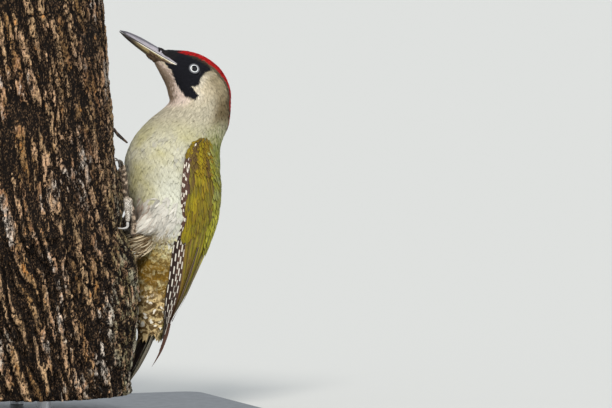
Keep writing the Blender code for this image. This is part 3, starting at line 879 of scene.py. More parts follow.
def add_strands(side, sign, material):
    """Loose strands that hang from the thigh to the bark."""
    count, steps = 125, 8
    t = np.linspace(0, 1, steps)[:, None]
    down, aside = chance.uniform(0, 1, count), chance.uniform(-1, 1, count)
    wild = chance.normal(0, 1, (count, 3))
    start = [61 - 4 * down + 3 * aside, -sign * (21.5 - 5 * down + aside), 141 - 14 * down]
    end = [44 + 0.5 * down + 4.5 * aside, -sign * (18.5 - 4 * down + 1.5 * aside), 133 - 14 * down]
    start, end = np.stack(start, -1), np.stack(end, -1) + wild * (2.4, 1.2, 3.4)
    bend = np.stack([wild[:, 1] * 2, -sign * 1.0 + 0 * down, 3.0 + 2 * wild[:, 0]], -1)
    sag = (start + end) / 2 - bend
    path = start[:, None] * (1 - t) ** 2 + sag[:, None] * 2 * t * (1 - t) + end[:, None] * t**2
    outs = np.broadcast_to(unit(np.array([-0.2, -sign, 0.3])), path.shape)
    tint = blend(rise(chance.uniform(0, 1, count), 0.40, 0.75), STRAND_DARK, STRAND_PALE)
    half = chance.uniform(0.2, 0.42, count)[:, None] * outline(steps, 0.4)
    place = np.stack([0.5 + sign * 0.3 + aside / 60, 0.10 + down / 60], -1)
    piece = vanes("coat_strands_" + side, path, outs, half, half * 0.3, tint, place)
    finish_piece(piece, material, "pale_plumage")


# --- Vent ---------------------------------------------------------------------
def add_vent_feathers(material):
    """Loose soft feathers of the vent and under the tail, with how much they are marked."""
    steps = 7
    ring, angle = rows_of_roots(12.2, 16.3, lambda at: 1.9, plumage)
    keep = np.abs(angle) > 74 + chance.uniform(-7, 7, len(ring))
    ring, angle = ring[keep], angle[keep]
    count, share = len(ring), np.linspace(0, 1, steps)
    length = np.interp(ring, (12, 15, 16.3), (8, 11, 17)) * chance.uniform(0.8, 1.2, count)
    length = length * (1 - rise(ring, 15.0, 15.8) * np.interp(np.abs(angle), (100, 150), (0.55, 0.0)))
    grow = -1.8 * (1 - share) ** 1.2 + chance.uniform(-0.1, 0.7, count)[:, None]
    path, outs = lay(plumage, ring, angle, chance.normal(0, 17, count), length, steps, grow)
    there = (ring[:, None] + share * length[:, None] / 18).ravel()
    fleck = np.repeat(chance.uniform(-1, 1, count), steps)
    tint = markings(there, np.repeat(angle, steps), path.reshape(-1, 3), fleck)
    tint = tint * (1 + 0.22 * waves(path.reshape(-1, 3), 8, 21) + 0.07 * fleck)[:, None]
    strength = np.interp(there + 0.15 * fleck, (12.4, 12.9, 14.6, 15.3), (0.0, 0.5, 0.5, 1.0))
    colours = np.concatenate([np.clip(tint, 0, 1), strength[:, None]], -1).reshape(count, steps, 4)
    half = np.interp(ring, (12, 16), (1.0, 1.5))[:, None] * outline(steps, 0.45, blunt=0.1)
    piece = vanes("coat_vent", path, outs, half, half * 0.2, colours, unwrap(ring, angle % 360))
    finish_piece(piece, material, "pale_plumage")


def vent_paint():
    """Soft barbs, with mottling and scattered marks over them: a pale heart, and a dark bow under it."""
    paint = Paint("Marked soft feathers", roughness=0.8, specular_ior_level=0.15)
    along = paint.parts(paint.attribute("vane", "Vector"))[1]
    wear, barbs = paint.grain(420.0), paint.grain((1500.0, 1500.0, 300.0), 2.0)
    # Barb grain, and painted shade towards each feather's root.
    shade = barbs * 0.7 + along.ramp(0.2, 0.8) * 0.25 + 0.45
    colour = paint.brighten(paint.attribute("tint", "Color"), shade)

    marked = paint.attribute("tint", "Alpha")
    mottle = paint.grain((250.0, 200.0, 330.0), 1.5, 0.5, 1.1)
    pale_mottle = mottle.ramp(0.47, 0.38) * marked.ramp(0.25, 0.5) * 0.35
    dark_mottle = mottle.ramp(0.53, 0.61) * marked.ramp(0.1, 0.5) * 0.8
    colour = paint.mix(pale_mottle, colour, (0.66, 0.54, 0.28))
    colour = paint.mix(dark_mottle, colour, (0.15, 0.085, 0.018))

    # Each mark lies round the nearest of some scattered places
    swirl_at = {"Vector": paint.vector("MULTIPLY", paint.here, (130.0,) * 3), "Scale": 1.0}
    swirl = paint.node("ShaderNodeTexNoise", None, "Color", swirl_at)
    swirl = paint.vector("MULTIPLY", swirl, (1.5, 1.5, 1.5))
    place = paint.vector("MULTIPLY_ADD", paint.here, (190.0, 100.0, 190.0), swirl)
    cells = {"Vector": place, "Scale": 1.0, "Randomness": 0.85}
    nearest = paint.node("ShaderNodeTexVoronoi", None, "Position", cells)
    ahead, aside, up = paint.parts(paint.vector("SUBTRACT", place, nearest))
    far = (ahead * ahead + up * up + aside * aside * 0.3) ** 0.5 + wear * 0.5 - 0.25
    strong = marked.ramp(0.6, 0.95)
    colour = paint.mix(far.ramp(0.30, 0.14) * strong * 0.9, colour, (0.88, 0.83, 0.72))
    bow = far.ramp(0.20, 0.32) * far.ramp(0.80, 0.55) * up.ramp(0.25, -0.02)
    colour = paint.mix(bow * strong * 0.9, colour, (0.085, 0.045, 0.012))
    paint.set("Base Color", colour)
    paint.bump(barbs, 0.15)
    return paint.material


# --- Wings --------------------------------------------------------------------
# Ring, the angles of the front and the back edge, and the thickness of the folded wing
WING = np.array(
    [
        (7.7, 75, 66, 1.0), (8.0, 86, 54, 2.2), (8.5, 91, 46, 3.6), (9.0, 93, 38, 4.2),
        (10.0, 96, 30, 4.4), (11.0, 98, 22, 4.4), (12.0, 101, 14, 4.2), (13.0, 103, 6, 4.0),
        (14.0, 101, 4, 3.6), (15.0, 96, 4, 3.0), (15.7, 88, 5, 2.4), (16.3, 66, 8, 1.8),
        (17.0, 52, 10, 1.4), (18.0, 44, 16, 1.1), (19.0, 36, 22, 0.8),
    ]
)
QUILL_DARK, QUILL_BROWN = (0.030, 0.014, 0.009), (0.085, 0.040, 0.024)
EDGE_BROWN, TIP_BROWN, BAR_PALE = (0.095, 0.045, 0.030), (0.12, 0.055, 0.035), (0.80, 0.72, 0.60)
SECONDARY, TERTIAL = (0.16, 0.070, 0.012), (0.52, 0.48, 0.013)
COVERT, COVERT_YELLOW, COVERT_GREEN = (0.23, 0.145, 0.009), (0.32, 0.235, 0.007), (0.46, 0.42, 0.011)
COVERT_SHADE = (0.10, 0.055, 0.026)


def wing_of(sign):
    """The outer face of one folded wing: ring along it, and across it 0 at the front edge to 100 behind."""

    def surface(along, across, grow):
        front, rear, thick = (np.interp(along, WING[:, 0], WING[:, k]) for k in (1, 2, 3))
        crown = np.clip(1 - 0.75 * np.abs(across / 50 - 1) ** 3, 0.1, 1)
        angle = front + (rear - front) * across / 100
        sunk = thick * crown * np.exp(np.minimum(grow, 0) / 3)
        return body(along, angle * sign, 0.3 + sunk + np.maximum(grow, 0))

    return surface


def plate(name, top, bottom, along, across):
    """A closed plate between two surfaces that share their two coordinates."""
    a, b = np.meshgrid(along, across, indexing="ij")
    rows, columns = a.shape
    points = np.concatenate([surface(a.ravel(), b.ravel()) for surface in (top, bottom)])
    cell = (np.arange(rows - 1)[:, None] * columns + np.arange(columns - 1)[None, :]).ravel()
    upper = np.stack([cell, cell + 1, cell + columns + 1, cell + columns], -1)
    lower = upper[:, ::-1] + rows * columns
    first, last = np.arange(columns), np.arange(columns) + (rows - 1) * columns
    left, right = np.arange(rows) * columns, np.arange(rows) * columns + columns - 1
    rim = np.concatenate([first[::-1], left[1:-1], last, right[1:-1][::-1]])
    edge = np.stack([rim, np.roll(rim, -1)], -1)
    walls = np.stack([edge[:, 1], edge[:, 0], edge[:, 0] + rows * columns, edge[:, 1] + rows * columns], -1)
    piece = make_mesh(name, points, [np.concatenate([upper, lower, walls])])
    face_outwards(piece)
    piece.data.shade_smooth()
    piece.data.set_sharp_from_angle(angle=math.radians(50))
    return piece


def fan(first, last, count):
    """Rows spread evenly from the first to the last."""
    return np.linspace(np.array(first, float), np.array(last, float), count)


def quills(surface, sign, roots, tips, half, grow, bow=0.0, widest=0.5):
    """Long feathers whose front edges run from roots to tips, as arrays of (along, across)."""
    steps = 14
    t = np.linspace(0, 1, steps)
    along = roots[:, :1] + (tips[:, :1] - roots[:, :1]) * t
    across = roots[:, 1:] + (tips[:, 1:] - roots[:, 1:]) * t**1.7 + bow * np.sin(np.pi * t)
    height = np.broadcast_to(grow[:, None], (len(roots), steps)) - 0.4 * (1 - t)
    edge = surface(along, across, height)
    outs = steps_at(surface, along, across, height)[2]
    toward_back = unit(np.cross(outs, unit(np.gradient(edge, axis=1)))) * sign
    width = half[:, None] * outline(steps, widest, blunt=0.5, root=0.75)
    return edge + toward_back * width[..., None], outs, width


def add_quills(name, sign, paint, colours, shape, point=0.0, period=None, turned=False):
    """Long wing feathers, from what quills() gives. point is the pointed share of each, turned one on edge.

    With a period, the pale marks are that far apart, and those of neighbours lie half a period apart.
    """
    path, outs, width = shape
    width = width * np.clip((1.04 - np.linspace(0, 1, width.shape[1])) / (point + 1e-3), 0.1, 1) ** 0.8
    count = len(path)
    crown = 0.06 + width**2 / 90
    luck = chance.uniform(0, 1, count)
    if period:
        marks_apart = period * (0.94 + 0.12 * luck[:, None])
        phase = 0.5 * np.arange(count)[:, None] + 0.12 * luck[:, None]
        luck = phase - (path[:, :, 2] - 95.0) / marks_apart
    tilt = -0.7 * width[:, :, None] if turned else 0.32
    piece = vanes(name, path, outs, width, crown, colours, None, luck, BROAD, sign, tilt)
    return finish_piece(piece, paint, "olive_plumage")


def add_row(name, sign, paint, colours, ends, half, heights, bow=0.0, widest=0.5, wander=0.0):
    """A row of long feathers. ends: the first and the last root, then the first and the last tip."""
    count = len(colours)
    roots, tips = fan(ends[0], ends[1], count), fan(ends[2], ends[3], count)
    stray = chance.uniform(-1, 1, (count, 1)) * wander * (1, 14)
    half = np.full(count, half) * chance.uniform(0.94, 1.06, count)
    surface, heights = wing_of(sign), np.linspace(*heights, count)
    shape = quills(surface, sign, roots + stray, tips + stray, half, heights, bow, widest)
    add_quills(name, sign, paint, colours, shape)


def add_wing_core(side, sign, paint):
    """The folded wing under its feathers: a plate between its outer face and the body."""
    surface, top, foot = wing_of(sign), -4.0, -30.0

    def outer(along, across):
        return surface(along, across, np.full(along.shape, top))

    def inner(along, across):
        low = np.full(along.shape, foot)
        return surface(along, across, low) - 0.3 * steps_at(surface, along, across, low)[2]

    core = plate("wing_core_" + side, outer, inner, np.linspace(7.95, 17.1, 56), np.linspace(1, 99, 16))
    finish_piece(core, paint, "olive_plumage", "wing_" + side)


def add_flight_feathers(side, sign, paints):
    """The long wing feathers, from the front edge backwards, each over the one before."""
    surface, primaries, secondaries = wing_of(sign), 6, 9
    reach = [16.2, 16.9, 17.6, 17.9, 17.6, 16.8] if sign > 0 else [16.2, 16.9, 17.2, 17.4, 17.2, 16.8]
    tips = np.stack([reach, [4.0, 18.0, 36.0, 44.0, 52.0, 78.0]], -1)
    half = np.array([2.4, 2.9, 3.0, 3.1, 3.0, 2.9])
    heights = np.linspace(-3.6, -2.3, primaries)
    roots = fan((10.8, 0), (11.6, 20), primaries)
    colours = np.tile(QUILL_DARK, (primaries, 1))
    colours[2:5] = QUILL_BROWN
    shape = quills(surface, sign, roots, tips, half, heights, widest=0.4)
    add_quills("primaries_" + side, sign, paints["barred"], colours, shape, 0.28, 9.3)
    if sign > 0:
        # The tip of the longest feather, turned on edge past the end of the wing
        root, tip = np.array([(16.2, 29.0)]), np.array([(19.0, 44.0)])
        name, colour = "long_tip_" + side, np.array([TIP_BROWN])
        shape = quills(surface, sign, root, tip, np.array([1.5]), np.array([0.1]))
        add_quills(name, sign, paints["barred"], colour, shape, 0.8, turned=True)
    colours = blend(np.linspace(0, 1, secondaries) ** 0.55, SECONDARY, TERTIAL)
    colours = colours * chance.uniform(0.8, 1.15, (secondaries, 1))
    ends = (11.6, 18), (11.0, 82), (16.4, 62), (14.9, 95)
    add_row("secondaries_" + side, sign, paints["lined"], colours, ends, 3.4, (-2.0, -0.9), -3.0)


def streaked(along, across):
    """Tints that run on down the wing in strips from one feather to the next."""
    count = len(along)
    strips = np.stack([across * 0.38, along * 2.5, 0 * across], -1)
    yellow = 0.5 + 0.6 * waves(strips, 9, 31) + chance.normal(0, 0.25, count)
    tints = blend(np.clip(yellow, 0, 1), COVERT, COVERT_YELLOW)
    tints = blend(rise(along, 10.4, 11.4) * rise(across, 38, 60) * 0.8, tints, COVERT_GREEN)
    dark = waves(strips, 7, 37) + chance.normal(0, 0.3, count) - 0.25 * rise(across, 50, 90)
    dark = dark + 0.35 * rise(across, 50, 25) * rise(along, 11.2, 10.2) - 0.3 * rise(along, 10.6, 11.4)
    light = np.interp(along, (8.6, 9.2, 9.8, 10.6), (1.1, 1.2, 1.0, 0.82))
    tints = tints * (light * (1 + chance.normal(0, 0.10, count)))[:, None]
    return blend(rise(dark, 0.35, 0.9) * 0.8, tints, COVERT_SHADE)


def on_wing_map(sign, along, across, low):
    """Where a small feather of the wing lies on the flat map; low is its sort's lower edge there."""
    return np.stack([0.25 + sign * 0.2 + across / 600, low + (along - 7.9) / 20], -1)


def add_coverts(side, sign, paint):
    """Coverts, whose tips end on a slanting line across the wing."""
    surface, steps = wing_of(sign), 10
    along, across = rows_of_roots(8.5, 11.9, lambda at: 2.6, surface, 15.0, 97.0)
    line = np.interp(across, (0, 20, 65, 100), (12.9, 12.8, 11.6, 11.4))
    room = (line - along) * 18 * chance.uniform(0.88, 1.0, len(along))
    kept = (room > 9) & (chance.uniform(0, 1, len(along)) < 0.8)
    along, across, room = along[kept], across[kept], room[kept]
    count, share = len(along), np.linspace(0, 1, steps)
    length = np.interp(along, (8.5, 10.5), (13, 30)) * chance.uniform(0.8, 1.25, count)
    grow = np.interp(along, (8.5, 11.9), (-0.25, -0.9))[:, None] - 1.3 * (1 - share)
    grow = grow + chance.uniform(-0.3, 0.1, count)[:, None]
    turn = chance.normal(0, 3, count) * sign
    path, outs = lay(surface, along, across, turn, np.minimum(length, room), steps, grow)
    half = np.interp(along, (8.5, 10.5), (1.3, 2.1))[:, None] * outline(steps, 0.6)
    place, tints = on_wing_map(sign, along, across, 0.36), streaked(along, across)
    piece = vanes("coverts_" + side, path, outs, half, half * 0.12, tints, place, None, BROAD, sign, 0.1)
    finish_piece(piece, paint, "olive_plumage")


def add_front_edge(side, sign, paints):
    """The spotted front edge: thumb, coverts over the primaries and a row of spots; two quills behind."""
    brown = np.tile(EDGE_BROWN, (7, 1))
    thumb = (8.3, 0), (8.5, 6), (10.8, 0), (11.4, 6)
    add_row("alula_" + side, sign, paints["spotted"], brown[:3], thumb, 2.2, (-1.9, -1.2), 0.3)
    covers = (10.3, 0), (10.7, 9), (12.1, 1), (12.9, 12)
    add_row("primary_coverts_" + side, sign, paints["spotted"], brown[:4], covers, 2.2, (-2.3, -1.6), 0.3)
    spots = (8.0, 10), (9.6, 3), (8.75, 10), (10.3, 3)
    add_row("edge_spots_" + side, sign, paints["dotted"], brown, spots, 1.5, (-0.6, -0.5), 0.0, 0.6, 0.03)
    rear = (12.9, 42), (13.2, 60), (16.6, 50), (16.1, 66)
    add_row("rear_quills_" + side, sign, paints["rear"], brown[:2] * 0.8, rear, 1.5, (0.1, 0.4), -2.0)


def add_lesser_coverts(side, sign, paint):
    """Small feathers of the shoulder's front."""
    surface, steps = wing_of(sign), 7
    along, across = rows_of_roots(7.72, 9.2, lambda at: 1.8, surface, 2.0, 98.0)
    clear = (along < 8.45) | (across > 14)
    clear &= chance.uniform(0, 1, len(along)) < np.interp(along, (8.5, 9.2), (1, 0.2))
    along, across = along[clear], across[clear]
    count, share = len(along), np.linspace(0, 1, steps)
    length = np.interp(along, (7.9, 8.7), (3.6, 7.5)) * chance.uniform(0.85, 1.15, count)
    grow = -1.2 * (1 - share) + chance.uniform(-0.3, 0.1, count)[:, None]
    path, outs = lay(surface, along, across, chance.normal(0, 7, count), length, steps, grow)
    half = np.interp(along, (7.9, 8.7), (1.1, 1.7))[:, None] * outline(steps, 0.6)
    tints = streaked(along, across) * np.interp(along, (7.9, 8.9), (0.8, 0.95))[:, None]
    tints, place = np.clip(tints, 0, 1), on_wing_map(sign, along, across, 0.04)
    name = "lesser_coverts_" + side
    piece = vanes(name, path, outs, half, half * 0.10, tints, place, None, BROAD, sign)
    finish_piece(piece, paint, "olive_plumage")


def add_scapulars(side, sign, paint):
    """Feathers of the shoulder, which hang over the wing's back edge."""
    surface, steps = wing_of(sign), 7
    along, across = rows_of_roots(8.0, 12.6, lambda at: 2.4, surface, 62.0, 112.0)
    count, share = len(along), np.linspace(0, 1, steps)
    length = np.interp(along, (8, 12.6), (9, 15)) * chance.uniform(0.85, 1.15, count)
    lift = np.interp(across, (62, 75), (-0.3, 0.5))[:, None]
    grow = -1.8 * (1 - share) + chance.uniform(-0.3, 0.1, count)[:, None] + lift
    keep = across > 64 - 8 * np.sin((along - 8) / 4.6 * math.pi) + chance.uniform(-3, 3, count)
    path, outs = lay(surface, along, across, chance.normal(-3 * sign, 6, count), length, steps, grow)
    half = np.interp(along, (8, 12.6), (1.5, 2.4))[:, None] * outline(steps, 0.6)
    tints = markings(along, np.zeros(count), path[:, 2], chance.uniform(-1, 1, count))
    tints = np.clip(tints * (1 + chance.normal(0, 0.24, count))[:, None], 0, 1)
    place, luck = on_wing_map(sign, along, across, 0.12), chance.uniform(0, 1, count)
    path, outs, half, tints, place, luck = (rows[keep] for rows in (path, outs, half, tints, place, luck))
    piece = vanes("scapulars_" + side, path, outs, half, half * 0.25, tints, place, luck)
    finish_piece(piece, paint, "olive_plumage")


def add_wing(side, sign, paints):
    add_wing_core(side, sign, paints["core"])
    add_flight_feathers(side, sign, paints)
    add_coverts(side, sign, paints["plain"])
    add_front_edge(side, sign, paints)
    add_lesser_coverts(side, sign, paints["scaly"])
    add_scapulars(side, sign, paints["plain"])


# --- Tail ---------------------------------------------------------------------
# x, z, half width and thickness of the tail, from its root to its tip
TAIL = np.array(
    [
        (65.5, 70.0, 8.5, 7.0), (63.5, 60.5, 11.5, 4.0), (59.2, 49.0, 13.5, 2.4),
        (53.4, 38.0, 12.5, 1.8), (48.4, 30.0, 8.5, 1.3), (45.9, 26.0, 2.5, 1.0),
    ]
)
# How steeply its halves fall away from the middle line
TAIL_ROOF = 0.34


def tail_surface(along, across, grow):
    """The tail's upper face: rows along it, and across it -100 at the right edge to 100 at the left."""
    at, ahead, behind = (between(TAIL, along + step) for step in (0, 0.05, -0.05))
    down = unit(ahead[..., :2] - behind[..., :2])
    out_x, out_z = -down[..., 1], down[..., 0]
    aside = at[..., 2] * across / 100
    high = at[..., 3] * 0.5 + grow - TAIL_ROOF * np.abs(aside)
    return np.stack([at[..., 0] + out_x * high, -aside, at[..., 1] + out_z * high], -1)


def add_tail(paints):
    """Six pairs of stiff feathers that lean on the trunk. The middle pair lies on top and is the longest."""
    top = -0.9
    core = plate(
        "tail_core",
        lambda a, b: tail_surface(a, b, np.full(a.shape, top)),
        lambda a, b: tail_surface(a, b, top - between(TAIL, a)[..., 3] * 0.25),
        np.linspace(0.1, 4.2, 24),
        np.linspace(-58, 58, 12),
    )
    finish_piece(core, paints["core"], "tail_plumage", "tail")
    pair, sign = np.repeat(np.arange(6), 2), np.tile([1, -1], 6)
    roots = np.stack([np.full(12, 0.3), sign * (6.0 + 12 * pair)], -1)
    tips = np.stack([4.95 - 0.12 * pair - 0.1 * pair**1.6, sign * (14.0 + 14 * pair)], -1)
    steps = 14
    t = np.linspace(0, 1, steps)
    along = roots[:, :1] + (tips[:, :1] - roots[:, :1]) * t
    across = roots[:, 1:] + (tips[:, 1:] - roots[:, 1:]) * t
    width = (2.9 - 0.16 * pair)[:, None] * outline(steps, 0.45, blunt=0.3, root=0.6)
    width = width * np.clip((1.02 - t) / 0.35, 0.12, 1) ** 0.5
    colours = np.tile(QUILL_DARK, (12, 1)) * chance.uniform(0.8, 1.8, (12, 1))
    # Seen from below, the outermost feathers lie over the others
    above = np.broadcast_to((0.2 - 0.32 * pair)[:, None], along.shape)
    below = -1.1 - 0.3 * between(TAIL, along)[..., 3] - 0.2 * pair[:, None]
    for name, height, way in (("tail_feathers", above, 1), ("tail_underside", below, -1)):
        path, outs = tail_surface(along, across, height), steps_at(tail_surface, along, across, height)[2]
        piece = vanes(name, path, outs * way, width, 0.16 + width * 0.1, colours, section=BROAD)
        finish_piece(piece, paints["tail"], "tail_plumage")


# --- Finish of the wings and the tail -----------------------------------------
def quill_paint(name, bars, spots=None, web=None, edge=None, seam=None, **constants):
    """A wing or tail feather: dark barbs and a glossy shaft, and what else is given.

    spots: how many pale marks there are along it, and the height of the wave at which they start.
    web: the outer and the inner edge of the strip across it that they lie on. edge: the colour of both its
    edges. seam: the colour of its outer edge and of its specks.
    """
    paint = Paint(name, **constants)
    greener, yellower, shaft_colour = (0.17, 0.16, 0.010), (0.34, 0.27, 0.012), (0.012, 0.008, 0.006)
    across, along, luck = paint.parts(paint.attribute("vane", "Vector"))
    off = across.math("ABSOLUTE")
    comb = (along * bars + off * -2.2 + luck * 3.0).wave() * 0.5 + 0.5
    grain, streak = paint.grain((600.0, 600.0, 200.0)), paint.grain((330.0, 330.0, 60.0))
    # Grain and streaks, and painted shade towards each feather's root.
    shade = comb * 0.12 + grain * 0.5 + streak * 0.9 + along.ramp(0.1, 0.8) * 0.22 + 0.08
    colour = paint.brighten(paint.attribute("tint", "Color"), shade)
    if seam:
        patches = paint.grain((260.0, 260.0, 45.0), 2.0)
        colour = paint.mix(patches.ramp(0.45, 0.62) * 0.55, colour, greener)
        outer = across.ramp(-0.60, -0.86) * (luck * 7.3).math("FRACT").ramp(0.15, 0.5)
        colour = paint.mix(across.ramp(-0.05, -0.5) * outer.ramp(0.5, 0.0) * 0.35, colour, yellower)
        colour = paint.mix(outer * 0.7, colour, seam)
        speck = paint.grain((620.0, 620.0, 240.0), 2.0)
        colour = paint.mix(speck.ramp(0.58, 0.70) * 0.45, colour, seam)
    if edge:
        colour = paint.mix(off.ramp(0.62, 0.88) * 0.85, colour, edge)
    if spots:
        many, start = spots
        outer, inner = web
        # The lowest part of the wing, near its tip, has no marks
        unmarked = paint.parts(paint.here)[2].ramp(0.064, 0.055) * 2.0
        wave = (along * many + luck + off * 0.12).wave() - unmarked
        there = across.ramp(inner, inner - 0.16) * across.ramp(outer - 0.08, outer + 0.08)
        colour = paint.mix(wave.ramp(start, start + 0.25) * there, colour, BAR_PALE)
    shaft = (across + 0.06).math("ABSOLUTE").ramp(0.09, 0.03)
    colour = paint.mix(shaft * 0.8, colour, shaft_colour)
    paint.set("Base Color", colour)
    paint.bump(comb * 0.35 + shaft * 1.2 + grain * 0.3, 0.12)
    return paint.material


# --- Eyes ---------------------------------------------------------------------
# Radii of the pale ring's outer edge, of the pupil and of the opening between the lids
IRIS, PUPIL, LID = 3.1, 2.35, 3.35


def eye_paint():
    paint = Paint("Eye", roughness=0.04, specular_ior_level=0.25)
    from_axis = paint.parts(paint.attribute("vane", "Vector"))[0]
    iris = paint.mix(paint.grain(900.0), (0.82, 0.84, 0.83), (0.97, 0.97, 0.95))
    colour = paint.mix(from_axis.ramp(PUPIL + 0.12, PUPIL - 0.12), iris, (0.003, 0.003, 0.004))
    paint.set("Base Color", paint.mix(from_axis.ramp(IRIS, IRIS + 0.2), colour, (0.02, 0.02, 0.02)))
    return paint.material


def lid_paint():
    paint = Paint("Eyelid", roughness=0.55)
    beads = paint.grain(1500.0, 2.0)
    paint.set("Base Color", paint.mix(beads, (0.05, 0.05, 0.055), (0.17, 0.17, 0.18)))
    paint.bump(beads, 0.15)
    return paint.material


def add_eyeball(side, centre, out, material):
    """A ball whose marks say how far each point lies from its axis; the back half counts as far off."""
    bpy.ops.mesh.primitive_uv_sphere_add(segments=96, ring_count=64, radius=EYE_RADIUS * MM)
    ball = bpy.context.active_object
    ball.name = "eyeball_" + side
    places = points_of(ball)
    from_axis = np.linalg.norm(places - out * (places @ out)[:, None], axis=1)
    from_axis = from_axis + np.where(places @ out < 0, 99, 0)
    set_marks(ball.data, from_axis[:, None] * (1, 0, 0))
    set_points(ball, places + centre)
    ball.data.shade_smooth()
    finish_piece(ball, material, "eye", "eye_" + side)


def add_eyelid(side, centre, out, forward, up, material):
    """A beaded ring round the opening, which is a little longer to the bill than it is high."""
    thin = 0.1
    bpy.ops.mesh.primitive_torus_add(
        major_segments=72, minor_segments=14, major_radius=1.0 * MM, minor_radius=thin * MM
    )
    ring = bpy.context.active_object
    ring.name = "eyelid_" + side
    flat = points_of(ring)
    turn = np.arctan2(flat[:, 1], flat[:, 0])
    beyond = np.hypot(flat[:, 0], flat[:, 1]) - 1.0
    reach = LID + 0.12 * np.cos(2 * turn) + beyond * 6.5
    height = np.sqrt(EYE_RADIUS**2 - LID**2) + flat[:, 2] * 5.5
    level = np.outer(reach * np.cos(turn), forward) + np.outer(reach * np.sin(turn), up)
    set_points(ring, centre + level + np.outer(height, out))
    face_outwards(ring)
    ring.data.shade_smooth()
    finish_piece(ring, material, "grey_plumage")


def add_eyes():
    ball_material, lid_material = eye_paint(), lid_paint()
    for side, sign in SIDES.items():
        centre, out, forward, up = eye_frame(sign)
        add_eyeball(side, centre, out, ball_material)
        add_eyelid(side, centre, out, forward, up, lid_material)


# --- Bill, legs and claws -----------------------------------------------------
def horn(name, low, high, tip, tip_reach, lines, **constants):
    """Horn coloured along the bill, with long fine grooves.

    A line: heights from and to, where it starts, how much its start leans, and its colour.
    """
    paint = Paint(name, **constants)
    x, y, z = paint.parts(paint.here)
    x, z = x - BILL_TIP[0] * MM, z - BILL_TIP[2] * MM
    along = (x * BILL_COSINE - z * BILL_SINE) * (1 / MM)
    height = (x * BILL_SINE + z * BILL_COSINE) * (1 / MM)
    stretched = {0: along * 0.09, 1: height * 1.7, 2: y * 1700.0}
    groove = paint.noise(paint.node("ShaderNodeCombineXYZ", None, 0, stretched), 4.0, 0.6)
    colour = paint.mix(groove.ramp(0.3, 0.7), low, high)
    rim = (height / (along * 0.10 + 1.3)).math("ABSOLUTE").ramp(0.62, 0.92)
    colour = paint.mix(rim * 0.8, colour, tip)
    colour = paint.mix(along.ramp(tip_reach, tip_reach * 0.35), colour, tip)
    for low_height, high_height, start, lean, shade in lines:
        begun = (along + height * lean).ramp(start, start + 8.0)
        colour = paint.mix(height.ramp(low_height, high_height) * begun, colour, shade)
    paint.set("Base Color", colour)
    paint.bump(groove, 0.12)
    return paint.material


def smooth_copy(name, slot, material, *nodes, voxel=0.35, rounds=4):
    piece = copy_of(name, *nodes)
    apply(piece, "REMESH", mode="VOXEL", voxel_size=voxel * MM)
    apply(piece, "SMOOTH", factor=0.5, iterations=rounds)
    piece.data.shade_smooth()
    return finish_piece(piece, material, slot, *nodes)


def bill_paints():
    """The upper and the lower half's materials. Their lines paint shade along the slit of the mouth, and
    darken the lower one's root.
    """
    mouth_slit_shade, pale, bristly = (0.012, 0.010, 0.012), (0.78, 0.73, 0.62), (0.075, 0.042, 0.022)
    # Painted shade: a near-black line along the slit between the two halves.
    lines = [(0.35, 0.05, 6.0, 0.0, mouth_slit_shade)]
    shades = (0.23, 0.21, 0.245), (0.44, 0.40, 0.42), (0.05, 0.045, 0.055)
    upper = horn("Upper bill", *shades, 8.0, lines, roughness=0.3)
    lines = [
        (-1.0, -1.7, 38.0, -3.1, bristly),
        (-0.95, -0.55, 12.0, 0.0, pale),
        (-0.2, 0.0, 6.0, 0.0, mouth_slit_shade),
    ]
    shades = (0.20, 0.13, 0.05), (0.46, 0.36, 0.16), (0.03, 0.022, 0.018)
    return upper, horn("Lower bill", *shades, 24.0, lines, roughness=0.35)


def add_bill_sides(upper, lower):
    """The sides of the bill's root, where the face's feathers leave it bare."""
    rings, angles = np.meshgrid(np.linspace(-0.4, 3.0, 140), np.arange(8.0, 172.0, 1.0), indexing="ij")
    face = body(rings.ravel(), angles.ravel(), np.zeros(rings.size))
    tree = tree_of(face * (1, 0, 1))
    halves = (
        ("bill_side_upper_", upper, lambda at: at * 0 - 0.1, lambda at: bare_top(at) + 0.4),
        ("bill_side_lower_", lower, lambda at: bare_foot(at) - 0.9, lambda at: at * 0 - 0.1),
    )
    for side, sign in SIDES.items():
        for name, material, foot, top in halves:

            def wall(along, share, inset, foot=foot, top=top, sign=sign):
                height = foot(along) + (top(along) - foot(along)) * share
                x = BILL_TIP[0] + along * BILL_COSINE + height * BILL_SINE
                z = BILL_TIP[2] - along * BILL_SINE + height * BILL_COSINE
                nearest = [tree.find((a, 0.0, b))[1] for a, b in zip(x.tolist(), z.tolist())]
                return np.stack([x, (face[nearest, 1] + inset) * sign, z], -1)

            piece = plate(
                name + side,
                lambda a, b, wall=wall: wall(a, b, 0.25),
                lambda a, b, wall=wall: wall(a, b, 2.2),
                np.linspace(33.0, GAPE_END + 0.9, 26),
                np.linspace(0, 1, 9),
            )
            apply(piece, "SMOOTH", factor=0.5, iterations=4)
            finish_piece(piece, material, "bill_horn")


def add_fringe(name, places, out, along, reach, tints, map_height, material):
    """Short feathers that run out along the bill from these places on it."""
    count, steps = len(places), 5
    down_bill = np.array([BILL_COSINE, 0.0, -BILL_SINE])
    run = unit(down_bill - out * (out @ down_bill)[:, None])
    share = np.linspace(0, 1, steps)[None, :, None]
    reach = (reach * chance.uniform(0.7, 1.2, count))[:, None, None]
    path = places[:, None] + run[:, None] * reach * share + out[:, None] * (1.1 * share**0.7 - 0.15)
    path = path + chance.normal(0, 0.25, (count, 1, 3)) * share
    tint = blend(chance.uniform(0, 1, count) ** 1.5, *tints)
    half = chance.uniform(0.28, 0.45, count)[:, None] * outline(steps)
    spot = np.stack([0.02 + along / 2000, np.full(count, map_height)], -1)
    outs = np.broadcast_to(out[:, None], path.shape)
    piece = vanes(name, path, outs, half, half * 0.25, tint, spot)
    finish_piece(piece, material, "grey_plumage")


